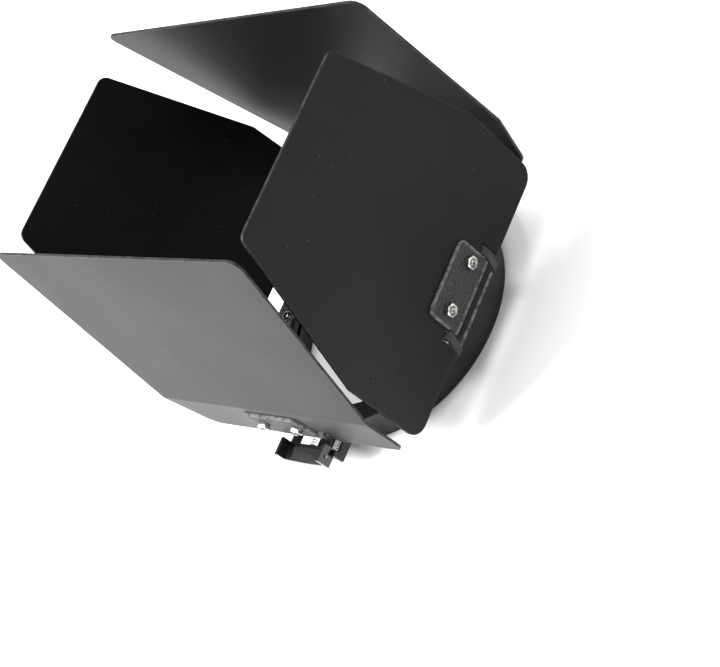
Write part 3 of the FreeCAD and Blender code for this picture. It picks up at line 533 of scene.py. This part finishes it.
def leaf_sheet(outline, corner_radii, side_view):
    """The middle of a leaf: x from the outline's half width, z from the side view at y."""
    border, _ = rounded(outline, corner_radii, steps=8, hold=0, closed=False)
    border = border[1:-1]
    tail, tip = border[0, 1], border[-1, 1]
    spaced = np.arange(tail, tip, ROW_STEP)
    rows = np.concatenate([border[:, 1], spaced, side_view[1:-1, 0], tail + EDGE_BAND,
                           tip - EDGE_BAND, [SLOT_FORWARD]])
    rows = np.unique(rows.round(3))
    half = np.interp(rows, border[:, 1], border[:, 0])
    slot_sides = [-SLOT_OUT, -SLOT_IN, SLOT_IN, SLOT_OUT]
    middle = np.unique(np.concatenate([np.linspace(-MIDDLE_HALF, MIDDLE_HALF, 15), slot_sides]))
    share = np.linspace(0, 1, 9)[1:]
    outer = MIDDLE_HALF + share * (half[:, None] - EDGE_BAND[2] - MIDDLE_HALF)
    outer = np.concatenate([outer, half[:, None] - EDGE_BAND[1:2], half[:, None]], 1)
    x = np.concatenate([-outer[:, ::-1], np.tile(middle, (len(rows), 1)), outer], 1)
    y = np.repeat(rows[:, None], x.shape[1], 1)
    z = np.interp(y, side_view[:, 0], side_view[:, 1])
    points = np.stack([x, y, z], -1)
    faces = grid_faces(*x.shape)
    centre = points.reshape(-1, 3)[faces].mean(2)
    from_slot = np.abs(np.abs(centre[..., 0]) - (SLOT_IN + SLOT_OUT) / 2)
    in_slot = from_slot < (SLOT_OUT - SLOT_IN) / 2
    kept = faces[~(in_slot & (centre[..., 1] < SLOT_FORWARD))]
    to_edge = np.minimum(half[:, None] - np.abs(x), np.minimum(y - tail, tip - y))
    edge = 1 - np.clip(to_edge / EDGE_BAND[2], 0, 1)
    return points.reshape(-1, 3), kept, edge.ravel()


flat_view = np.array([(-LEAF_TAIL - 1, LEAF_OFFSET), (200.0, LEAF_OFFSET)])
folded_view, _ = rounded(
    [(-LEAF_TAIL - 1, LEAF_OFFSET), (FOLD_AT, LEAF_OFFSET), (PANEL_END, LEAF_OFFSET - PANEL_DROP)],
    [0, FOLD_RADIUS, 0], steps=6, closed=False)
narrow = leaf_sheet(NARROW_OUTLINE, [0, REAR_CORNER, LEAF_CORNER, LEAF_CORNER, 0], flat_view)
wide = leaf_sheet(WIDE_OUTLINE, [0, REAR_CORNER, 0, LEAF_CORNER, 0], folded_view)

for side, shape in {"right": narrow, "left": narrow, "top": wide, "bottom": wide}.items():
    placed = at_hinge(shape, side, leaned=True)
    leaf = make_piece(f"leaf_{side}_sheet", placed, f"leaf_{side}", f"leaf_{side}", "leaf")
    thicken(leaf, LEAF_EDGE_R)

# %% [markdown]
# ## The hinge plates
#
# A plate is screwed to the outside of each leaf, and an ear at each end bends down past the
# leaf to meet the pin. It is one pressing, so ear and plate share a bend. The grid is drawn
# in two pieces that share a row: behind it the sheet follows the bend down into the ears,
# and in front it runs flat to rounded corners, with the small nick between them that a
# press leaves there.

# %% Press the hinge plates
PLATE_BACK = 4.6 - LEAF_TAIL
PLATE_FRONT = PLATE_BACK + 20.0
PLATE_CORNER = 3.0
EAR_MIDDLE = EAR_OUT - SHEET / 2
EAR_BEND = 1.0
EAR_FRONT = KNUCKLE_R
PLATE_EDGE_R = 0.28
RIM_INNER = 1.2
RIM_OUTER = 0.5


def ear_depth(y):
    """How far below the pin an ear reaches: a soft-cornered arch over its length."""
    middle = (PLATE_BACK + EAR_FRONT) / 2
    share = np.abs(y - middle) / (EAR_FRONT - middle)
    return (KNUCKLE_R + 0.8) * (1 - np.minimum(share, 1) ** 3.5) ** (1 / 3.5) - 0.8


def plate_sheet():
    """The middle of a plate: a bent grid behind the nick, and a flat one in front of it."""
    bend = np.linspace(0, math.pi / 2, 6)
    flat_half = EAR_MIDDLE - EAR_BEND
    flat = np.linspace(-flat_half, flat_half, 17)
    rows = np.concatenate([PLATE_BACK + EDGE_BAND[:2], np.linspace(-1.8, EAR_FRONT - 0.8, 5),
                           [EAR_FRONT - 0.3, EAR_FRONT - 0.05, EAR_FRONT]])
    down = np.array([0.3, 0.7, 0.9, 1.0])
    drop = (PLATE_MIDDLE - EAR_BEND) + ear_depth(rows)[:, None]
    side_x = np.concatenate([flat_half + EAR_BEND * np.sin(bend[1:]), np.full(len(down), EAR_MIDDLE)])
    bend_z = np.tile(PLATE_MIDDLE - EAR_BEND + EAR_BEND * np.cos(bend[1:]), (len(rows), 1))
    ear_z = PLATE_MIDDLE - EAR_BEND - drop * down
    side_z = np.concatenate([bend_z, ear_z], 1)
    x = np.tile(np.concatenate([-side_x[::-1], flat, side_x]), (len(rows), 1))
    z = np.concatenate([side_z[:, ::-1], np.full((len(rows), len(flat)), PLATE_MIDDLE), side_z], 1)
    y = np.repeat(rows[:, None], x.shape[1], 1)
    below = np.concatenate([np.zeros(len(bend) - 1), down])
    reach = np.concatenate([below[::-1], np.zeros(len(flat)), below])
    edge = np.maximum(1 - (y - PLATE_BACK) / WEAR_BAND, (reach - 0.7) / 0.3).clip(0, 1)
    bent = (np.stack([x, y, z], -1).reshape(-1, 3), grid_faces(*x.shape).reshape(-1, 4), edge.ravel())

    border, _ = rounded([(EAR_OUT, EAR_FRONT), (EAR_OUT, PLATE_FRONT), (0, PLATE_FRONT)],
                        [0, PLATE_CORNER, 0], steps=8, hold=0, closed=False)
    rows = [border[:-1, 1], np.linspace(EAR_FRONT, 13, 6), PLATE_FRONT - EDGE_BAND]
    rows = np.unique(np.concatenate(rows).round(3))
    half = np.interp(rows, border[:-1, 1], border[:-1, 0])
    last = np.stack([half - RIM_OUTER, half], 1)
    inner = flat[None] * np.minimum(1, (half[:, None] - RIM_INNER) / flat_half)
    x = np.concatenate([-last[:, ::-1], inner, last], 1)
    y = np.repeat(rows[:, None], x.shape[1], 1)
    z = np.full_like(x, PLATE_MIDDLE)
    edge = 1 - np.minimum(half[:, None] - np.abs(x), PLATE_FRONT - y) / WEAR_BAND
    edge = edge.ravel().clip(0, 1)
    front = (np.stack([x, y, z], -1).reshape(-1, 3), grid_faces(*x.shape).reshape(-1, 4), edge)
    return joined([bent, front])


plate = plate_sheet()
for side in SIDES:
    placed = at_hinge(plate, side, leaned=True)
    pressed = make_piece(f"hinge_plate_{side}_pressing", placed,
                         f"leaf_{side}", f"hinge_plate_{side}", "hinge")
    thicken(pressed, PLATE_EDGE_R)

# %% [markdown]
# ## The hinge brackets
#
# The fixed half of each hinge is a strip screwed to the front of the ring. Its two legs
# lean outward to the pins and roll round them, and the roll stops just short of closing, as
# a rolled knuckle does. The side view of a leg is a line, a bend, a leaning line and most
# of a circle; carrying it across the leg's width gives the sheet. The circle starts where
# the leaning line touches it, so the two meet without a crease. Between the legs the strip
# ends in a short straight tongue.

# %% Roll the hinge brackets
WEB_Y = RING_FRONT - PIN_HEIGHT + SHEET / 2
WEB_INNER = 54.5 - PIN_OUT
WEB_CORNER = 3.0
ROLL_R = KNUCKLE_R - SHEET / 2
LEG_LEAN = math.radians(25.0)
LEG_BEND = 1.6
LEG_FOOT = (ROLL_R + WEB_Y * math.sin(LEG_LEAN)) / math.cos(LEG_LEAN)
PIN_RISE = PIN_HEIGHT - RING_FRONT
TONGUE_SHORT = 1.5
TONGUE_END = (KNUCKLE_R - PIN_RISE * math.sin(LEG_LEAN)) / math.cos(LEG_LEAN) - TONGUE_SHORT
ROLL_TURN = math.radians(300)
BRACKET_EDGE_R = 0.25
WEB_SPLIT = LEG_FOOT - 3.0


def strip_sheet(x, path, edge_rows):
    """Columns at each x, carried along a path of (forward, outward) points."""
    points = np.stack([
        np.tile(x, (len(path), 1)),
        np.repeat(path[:, :1], len(x), 1),
        np.repeat(path[:, 1:], len(x), 1),
    ], -1)
    edge = np.repeat(edge_rows, len(x))
    return points.reshape(-1, 3), grid_faces(len(path), len(x)).reshape(-1, 4), edge


def bracket_sheet():
    """The middle of a bracket: the web, the tongue between the legs, and two rolled legs."""
    rim = 0.4
    legs = np.array([KNUCKLE_INNER, KNUCKLE_INNER + rim, 21.2, KNUCKLE_END - rim, KNUCKLE_END])
    between = np.linspace(-KNUCKLE_INNER, KNUCKLE_INNER, 15)
    columns = np.concatenate([-legs[::-1], between[1:-1], legs])
    corner = np.linspace(0, math.pi / 2, 7)
    inset = WEB_CORNER * (1 - np.sin(corner))
    corner_rows = WEB_INNER + WEB_CORNER * (1 - np.cos(corner))
    rows = np.concatenate([corner_rows, np.linspace(WEB_INNER + 6, WEB_SPLIT, 6)])
    narrowed = np.concatenate([inset, np.zeros(6)])[:, None]
    x = np.tile(columns, (len(rows), 1))
    x = x * (1 - narrowed / KNUCKLE_END)
    flat = np.stack([x, np.full_like(x, WEB_Y), np.repeat(rows[:, None], x.shape[1], 1)], -1)
    web_edge = np.repeat(np.clip(1 - (rows - WEB_INNER) / WEAR_BAND, 0, 1), x.shape[1])
    web = (flat.reshape(-1, 3), grid_faces(*x.shape).reshape(-1, 4), web_edge)

    tongue_path = np.stack([np.full(3, WEB_Y), [WEB_SPLIT, TONGUE_END - 0.5, TONGUE_END]], 1)
    tongue = strip_sheet(between, tongue_path, np.array([0.0, 0.4, 1.0]))
    lean_forward, lean_out = math.cos(LEG_LEAN), math.sin(LEG_LEAN)
    touch = ROLL_R * np.array([-lean_out, lean_forward])
    bend, _ = rounded([(WEB_Y, WEB_SPLIT), (WEB_Y, LEG_FOOT), touch], [0, LEG_BEND, 0],
                      steps=6, hold=0, closed=False)
    share = np.linspace(0, 1, 7)[1:, None]
    straight = bend[-2] + (touch - bend[-2]) * share
    turn = np.linspace(0, ROLL_TURN, 32)[1:] - LEG_LEAN
    roll = np.stack([ROLL_R * np.sin(turn), ROLL_R * np.cos(turn)], 1)
    path = np.concatenate([bend[:-1], straight, roll])
    path_edge = np.zeros(len(path))
    path_edge[-1] = 1.0
    right = strip_sheet(legs, path, path_edge)
    left = strip_sheet(-legs[::-1], path, path_edge)
    return joined([web, tongue, right, left])


bracket = bracket_sheet()
for side in SIDES:
    placed = at_hinge(bracket, side, leaned=False)
    rolled = make_piece(f"hinge_bracket_{side}_pressing", placed,
                        "ring", f"hinge_bracket_{side}", "hinge")
    thicken(rolled, BRACKET_EDGE_R)

# %% [markdown]
# ## Rivets and washers
#
# A short rivet joins each ear to its knuckle, with a thin washer between them. All are
# turned, so each is an outline spun round the pin. The outline of a solid starts and ends
# on the axis, where its points fall together and are merged into a pole.

# %% Turn the rivets and washers
def on_pin(part, mirrored):
    """A part turned about its own z axis, laid along the pin, or its twin at the other end."""
    points, faces, edge = part
    along, first, second = points[:, 2], points[:, 0], points[:, 1]
    sign = -1 if mirrored else 1
    return np.stack([along * sign, first, second], 1), faces, edge


RIVET_R = 1.5
RIVET_IN = 16.6
PIN_HEAD_R = 1.8
PIN_HEAD_END = KNUCKLE_END + 0.8
WASHER_BORE_R = 1.25
WASHER_R = 2.2
WASHER_HALF = 0.3
RIVET_OUTLINE, RIVET_EDGE = rounded(
    [(0, RIVET_IN), (RIVET_R, RIVET_IN), (RIVET_R, EAR_IN), (PIN_R, EAR_IN), (PIN_R, KNUCKLE_END),
     (PIN_HEAD_R, KNUCKLE_END), (PIN_HEAD_R, PIN_HEAD_END), (0, PIN_HEAD_END)],
    [0, 0.3, 0.1, 0.1, 0.1, 0.1, 0.5, 0], steps=5, hold=0.08, closed=False)
WASHER_MIDDLE = (EAR_OUT + KNUCKLE_INNER) / 2
WASHER_OUTLINE, WASHER_EDGE = rounded(
    [(WASHER_BORE_R, WASHER_MIDDLE - WASHER_HALF), (WASHER_R, WASHER_MIDDLE - WASHER_HALF),
     (WASHER_R, WASHER_MIDDLE + WASHER_HALF), (WASHER_BORE_R, WASHER_MIDDLE + WASHER_HALF)],
    [0.05, 0.15, 0.15, 0.05], steps=3, hold=0.05)
rivet = turned(RIVET_OUTLINE, RIVET_EDGE, round_angles(40), closed=False)
washer = turned(WASHER_OUTLINE, WASHER_EDGE, round_angles(40))

ON_THE_PIN = (("rivets", rivet, "hinge_pins"), ("rings", washer, "friction_washers"))
for side in SIDES:
    for kind, shape, node in ON_THE_PIN:
        both = joined([on_pin(shape, False), on_pin(shape, True)])
        placed = at_hinge(both, side, leaned=False)
        make_piece(f"{node}_{side}_{kind}", placed, "ring", f"{node}_{side}", "pin")

# %% [markdown]
# ## Screws and nuts
#
# A bright nut and the end of its screw stand on each plate, and they are the only metal
# that shines, so they get their real shapes. A nut is a hexagon whose corners are cut by a
# cone: the further a side is from the middle, the lower the cone meets it, which gives the
# curved line seen on every nut. A thread is a turned bar whose radius rises and falls along
# a line that climbs one pitch each turn.

# %% Cut the threads and the hexagons
PITCH = 0.5
THREAD_DEPTH = 0.27
NUT_WIDTH = 5.5
NUT_THICK = 2.4
HEAD_R = 2.8
HEAD_THICK = 1.8
SOCKET_R = 1.0
THREAD_SIDES = 36
NUT_SIDES = 72
NUT_MOUTH = 0.25


def threaded_bar(start, end):
    """A threaded bar along z with closed, chamfered ends.

    Radius = outer - depth * (distance from the crest, 0 to 1), where the crest's height is
    the pitch times the share of a turn, and no more than the chamfer's cone allows.
    """
    angles = round_angles(THREAD_SIDES)
    rows = np.arange(start, end + 0.01, PITCH / 10)
    phase = (rows[:, None] / PITCH - angles / (2 * math.pi)) % 1.0
    crest = np.abs(phase * 2 - 1)
    cone = SCREW_R - 0.4 + (end - rows[:, None]) * 0.8
    radius = np.minimum(SCREW_R - THREAD_DEPTH * crest.clip(0.12, 0.9), cone)
    pole = np.zeros((1, THREAD_SIDES))
    radius = np.concatenate([pole, radius, pole])
    height = np.concatenate([rows[:1], rows, rows[-1:]])[:, None] + np.zeros(THREAD_SIDES)
    points = np.stack([radius * np.cos(angles), radius * np.sin(angles), height], -1)
    # Edge is 1 on the thread crests, where the fixings' painted highlight goes.
    edge = np.broadcast_to(1 - crest, (len(rows), THREAD_SIDES))
    edge = np.concatenate([pole, edge, pole]).ravel()
    return points.reshape(-1, 3), grid_faces(*radius.shape, False, True).reshape(-1, 4), edge


def hex_nut(base):
    """A nut on z: bore, flat, cone, six sides, cone, flat, closed round on itself."""
    angles = round_angles(NUT_SIDES)
    side = NUT_WIDTH / 2 * six_sided(angles)
    flat = NUT_WIDTH / 2 * 0.94
    fall = (side - flat) * math.tan(math.radians(30))
    level = np.zeros(NUT_SIDES)
    bore = level + SCREW_R + 0.02
    rings = [(bore + NUT_MOUTH, level), (flat + level, level), (side, fall),
             (side, NUT_THICK - fall), (flat + level, NUT_THICK + level),
             (bore + NUT_MOUTH, NUT_THICK + level), (bore, NUT_THICK - NUT_MOUTH + level),
             (bore, NUT_MOUTH + level)]
    points = np.stack([
        np.stack([r * np.cos(angles), r * np.sin(angles), base + h], -1) for r, h in rings
    ])
    # Edge is 1 on the nut's sides and corners, which take the fixings' painted highlight.
    edge = np.repeat([0.0, 1.0, 1.0, 1.0, 1.0, 0.0, 0.0, 0.0], NUT_SIDES)
    faces = grid_faces(len(rings), NUT_SIDES, True, True).reshape(-1, 4)
    return points.reshape(-1, 3), faces, edge


def button_head(base, sign):
    """A domed head whose flat is at base and whose six-sided socket opens the other way."""
    # The dome's arcs get edge 1, which carries the fixings' painted highlight round its rims.
    dome, edge = rounded(
        [(0, 0), (HEAD_R, 0), (HEAD_R, 0.6), (1.7, HEAD_THICK), (1.15, HEAD_THICK)],
        [0, 0.1, 0.5, 0.5, 0], steps=5, hold=0.08, closed=False)
    socket = np.array([(SOCKET_R, HEAD_THICK - 0.1), (SOCKET_R, 0.9), (0, 0.7)])
    outline = np.concatenate([dome, socket])
    edge = np.concatenate([edge, np.zeros(3)])
    is_hexagon = np.zeros(len(outline), bool)
    is_hexagon[[-3, -2]] = True
    points, faces, edge = turned(outline, edge, round_angles(48), closed=False, hexagon=is_hexagon)
    points[:, 2] = base + sign * points[:, 2]
    return points, faces, edge


def at_pair(part, spacing, forward):
    """Two copies of an upright part, either side of the hinge's middle."""
    points, faces, edge = part
    return joined([
        (points + np.array([sign * spacing / 2, forward, 0]), faces, edge) for sign in (-1, 1)
    ])


LEAF_SPACING = 23.5
LEAF_FORWARD = PLATE_BACK + 10.4
SCREW_END = PLATE_OUTER + NUT_THICK + 0.9
nuts = at_pair(hex_nut(PLATE_OUTER), LEAF_SPACING, LEAF_FORWARD)
leaf_screw = joined([threaded_bar(LEAF_UNDER - 0.2, SCREW_END), button_head(LEAF_UNDER, -1)])
leaf_screws = at_pair(leaf_screw, LEAF_SPACING, LEAF_FORWARD)
ON_THE_LEAF = (("hexagons", nuts, "leaf_nuts"), ("threaded", leaf_screws, "leaf_screws"))
for side in SIDES:
    for kind, shape, node in ON_THE_LEAF:
        placed = at_hinge(shape, side, leaned=True)
        make_piece(f"{node}_{side}_{kind}", placed, f"leaf_{side}", f"{node}_{side}", "fixing")

# %% [markdown]
# The screws that hold a bracket to the ring point along the beam instead, so the same bar
# and head are made upright and then laid forward: what was height becomes Y.

# %% Screws that hold the brackets
WEB_SPACING = 20.0
WEB_SCREW_OUT = 58.4 - PIN_OUT
WEB_SCREW_DEEP = 2.4
web_top = RING_FRONT - PIN_HEIGHT + SHEET
bracket_screw = joined([
    threaded_bar(web_top - SHEET - WEB_SCREW_DEEP, web_top + 0.2),
    button_head(web_top, 1),
])
pair = joined([
    (bracket_screw[0][:, [1, 2, 0]] + np.array([sign * WEB_SPACING / 2, 0, WEB_SCREW_OUT]),
     bracket_screw[1], bracket_screw[2])
    for sign in (-1, 1)
])
for side in SIDES:
    placed = at_hinge(pair, side, leaned=False)
    make_piece(f"bracket_screws_{side}_buttons", placed, "ring", f"bracket_screws_{side}", "fixing")

# %% [markdown]
# ## The two rings
#
# Both rings are turned shapes, drawn as one closed outline each. The fixed ring slips over
# the lens, and notches round its front give the lock somewhere to drop in. A notch is only
# a smaller radius over a few degrees, so the same turned grid can have it: the radius is
# lowered where both the angle and the height fall inside a notch. The angles are bunched
# either side of each notch wall, so that the wall is steep.
#
# The turning ring carries the hinges. Its lock window is a patch of cells left out of the
# outer and the inner wall, with four strips that join the two holes.

# %% Turn the fixed ring
BORE_R = 56.0
SLEEVE_R = 58.6
COLLAR_R = 62.7
MOUNT_FRONT = 12.5
NOTCH_COUNT = 24
NOTCH_DEPTH = 1.4
NOTCH_BACK = 9.1
NOTCH_HALF = 2.5
NOTCH_WALL_RUN = 0.06


def notched_angles():
    """Angles round the ring with close pairs at both walls of every notch."""
    step = 2 * math.pi / NOTCH_COUNT
    wall = NOTCH_HALF / SLEEVE_R
    gap = NOTCH_WALL_RUN / SLEEVE_R
    one = np.array([-wall - gap, -wall + gap, 0, wall - gap, wall + gap])
    between = np.linspace(wall + gap, step - wall - gap, 7)[1:-1]
    one = np.concatenate([one, between])
    starts = np.arange(NOTCH_COUNT) * step - math.pi / 2
    return (starts[:, None] + one).ravel(), np.tile(np.abs(one) < wall, NOTCH_COUNT)


mount_outline, mount_edge = rounded(
    [(BORE_R, 0), (COLLAR_R, 0), (COLLAR_R, 2.0), (SLEEVE_R, 2.0), (SLEEVE_R, 5.6), (57.8, 5.6),
     (57.8, 6.7), (SLEEVE_R, 6.7), (SLEEVE_R, NOTCH_BACK - 0.05), (SLEEVE_R, NOTCH_BACK + 0.05),
     (SLEEVE_R, MOUNT_FRONT), (53.0, MOUNT_FRONT), (53.0, 11.0), (BORE_R, 11.0)],
    [0.5, 0.5, 0.3, 0.2, 0, 0, 0, 0, 0, 0, 0.3, 0.3, 0.3, 0.1], steps=4, hold=0.15)
mount_angles, in_notch = notched_angles()
mount = turned(mount_outline, mount_edge, mount_angles)
notched_rows = (mount_outline[:, 0] > SLEEVE_R - NOTCH_DEPTH) & (mount_outline[:, 1] > NOTCH_BACK)
lowered = np.where(notched_rows[:, None] & in_notch[None], SLEEVE_R - NOTCH_DEPTH, np.inf).ravel()
radius = np.hypot(mount[0][:, 0], mount[0][:, 1])
mount[0][:, :2] *= (np.minimum(radius, lowered) / radius)[:, None]
make_piece("mount_ring_turned", mount, "mount", "mount_ring", "ring")

# %% Turn the ring that carries the hinges
BAND_R = 59.0
WINDOW_HALF = 4.4
WINDOW_LOW = 9.0
WINDOW_HIGH = 12.2

ring_outline, ring_edge = rounded(
    [(BAND_R, 2.3), (COLLAR_R, 2.3), (COLLAR_R, WINDOW_LOW), (COLLAR_R, WINDOW_HIGH),
     (COLLAR_R, RING_FRONT), (52.5, RING_FRONT), (52.5, 14.7), (BAND_R, 14.7),
     (BAND_R, WINDOW_HIGH), (BAND_R, WINDOW_LOW), (BAND_R, 6.85), (60.15, 6.85), (60.15, 5.35),
     (BAND_R, 5.35)],
    [0.3, 0.3, 0, 0, 0.7, 0.5, 0.3, 0.2, 0, 0, 0, 0, 0, 0], steps=5, hold=0.2)


def ring_with_window():
    """The turned ring, with the lock's window cut through its wall where the angle is -90."""
    half = WINDOW_HALF / COLLAR_R
    opening = np.array([-half, 0, half]) - math.pi / 2
    rest = np.linspace(-math.pi / 2 + half, 1.5 * math.pi - half, 250)[1:-1]
    angles = np.concatenate([opening, rest])
    points, faces, edge = turned(ring_outline, ring_edge, angles)
    faces = faces.reshape(len(ring_outline), len(angles), 4)
    corners = {
        wall: [
            int(np.argmin(np.hypot(*(ring_outline - (wall, z)).T)))
            for z in (WINDOW_LOW, WINDOW_HIGH)
        ]
        for wall in (COLLAR_R, BAND_R)
    }
    outer_low, outer_high = corners[COLLAR_R]
    inner_low, inner_high = corners[BAND_R]
    open_cells = np.zeros(faces.shape[:2], bool)
    open_cells[outer_low:outer_high, :2] = True
    open_cells[inner_high:inner_low, :2] = True
    width = len(angles)
    outer_loop, inner_loop = (
        [low * width + j for j in (0, 1, 2)] + [high * width + j for j in (2, 1, 0)]
        for low, high in ((outer_low, outer_high), (inner_low, inner_high))
    )
    walls = [(a, b, d, c) for a, b, c, d in zip(
        outer_loop, outer_loop[1:] + outer_loop[:1], inner_loop, inner_loop[1:] + inner_loop[:1])]
    return points, np.concatenate([faces[~open_cells], np.array(walls)]), edge


make_piece("rotating_ring_turned", ring_with_window(), "ring", "rotating_ring", "ring")

# %% [markdown]
# ## The lock
#
# The lock's guide and its C-shaped grip are moulded, with openings and hollows that a grid
# would only repeat, so here the plain nodes are the start. A copy of each is welded, its
# flat faces are made whole again, and every hard edge is rounded as a mould would leave it.
# The springs, felt pads, clip and dowels are right as they are, and take a finish only.

# %% Soften the moulded parts
def moulded_copy(node, name, slot, body, radius):
    """A welded stand-in for a plain node, its flat faces joined up and its edges rounded."""
    shape = bmesh.new()
    shape.from_mesh(nodes[node].data)
    bmesh.ops.remove_doubles(shape, verts=shape.verts, dist=1e-6)
    bmesh.ops.dissolve_limit(shape, angle_limit=math.radians(0.5),
                             verts=shape.verts, edges=shape.edges)
    bmesh.ops.recalc_face_normals(shape, faces=shape.faces)
    mesh = bpy.data.meshes.new(name)
    shape.to_mesh(mesh)
    shape.free()
    mesh.shade_smooth()
    mesh.set_sharp_from_angle(angle=math.radians(30))
    soften(stand_in(name, mesh, body, node, slot), radius, segments=4, angle=35)
    print(f"{name}: {len(mesh.polygons)} faces before its edges are rounded")


moulded_copy("lock_slide", "lock_slide_moulding", "grip", "slide", 0.45)
moulded_copy("lock_guide", "lock_guide_moulding", "ring", "ring", 0.35)

for node, slot in {"lock_springs": "spring", "friction_pads": "felt",
                   "retaining_circlip": "spring", "grip_pins": "fixing"}.items():
    nodes[node].data.materials.clear()
    nodes[node].data.materials.append(FINISH[slot])

# %% [markdown]
# ## Floor, light and camera
#
# Black objects are lit by what they mirror. A broad pale floor gives the leaves a soft grey
# to reflect, and it is lit more strongly on the side that the lower leaf mirrors, so that
# leaf turns mid grey while the near one stays dark. A large soft panel overhead draws the
# thin bright lines along the edges. The camera is long, a little above the leaves' tips.

# %% Floor
floor_size = 40.0
corner = floor_size / 2
floor_mesh = bpy.data.meshes.new("studio_floor")
floor_points = [(-corner, -corner, 0), (corner, -corner, 0),
                (corner, corner, 0), (-corner, corner, 0)]
floor_mesh.from_pydata(floor_points, [], [(0, 1, 2, 3)])
floor = bpy.data.objects.new("studio_floor", floor_mesh)
bpy.context.scene.collection.objects.link(floor)
floor_mesh.materials.append(
    coating("pale_floor", (0.88, 0.88, 0.88), (0.91, 0.91, 0.91), (0.9, 0.9, 0.9),
           0.6, (300, 90), (0.05, 0.02), drift=2.0, wear_and_highlight=0.0))


# %% Lights
def soft_panel(name, at, towards, size, power):
    """A square panel of light at a place, in metres, turned to face a point."""
    data = bpy.data.lights.new(name, "AREA")
    data.shape = "SQUARE"
    data.size = size
    data.energy = power
    panel = bpy.data.objects.new(name, data)
    bpy.context.scene.collection.objects.link(panel)
    place = np.array(at, float)
    aim = Vector(np.array(towards, float) - place)
    panel.location = place
    panel.rotation_euler = aim.to_track_quat("-Z", "Y").to_euler()
    return panel


world = bpy.data.worlds.new("studio_air")
world.use_nodes = True
world.node_tree.nodes["Background"].inputs["Color"].default_value = (1.0, 1.0, 1.0, 1.0)
world.node_tree.nodes["Background"].inputs["Strength"].default_value = 0.9
bpy.context.scene.world = world
soft_panel("overhead", (0.1, 0.2, 1.4), (0, 0, 0.1), 1.0, 14)
soft_panel("floor_wash", (-0.55, -0.75, 0.9), (-0.25, -0.3, 0), 0.5, 32)

# %% Camera
CAMERA_AT = (0.5966, -0.2405, 0.4993)
CAMERA_TURN = (38.265, 39.919, 30.284)
camera_data = bpy.data.cameras.new("camera")
camera_data.sensor_width = 36.0
camera_data.lens = 85.6
camera_data.clip_start = 0.01
camera = bpy.data.objects.new("camera", camera_data)
bpy.context.scene.collection.objects.link(camera)
camera.location = CAMERA_AT
camera.rotation_euler = [math.radians(a) for a in CAMERA_TURN]
bpy.context.scene.camera = camera
bpy.context.scene.view_settings.view_transform = "Standard"
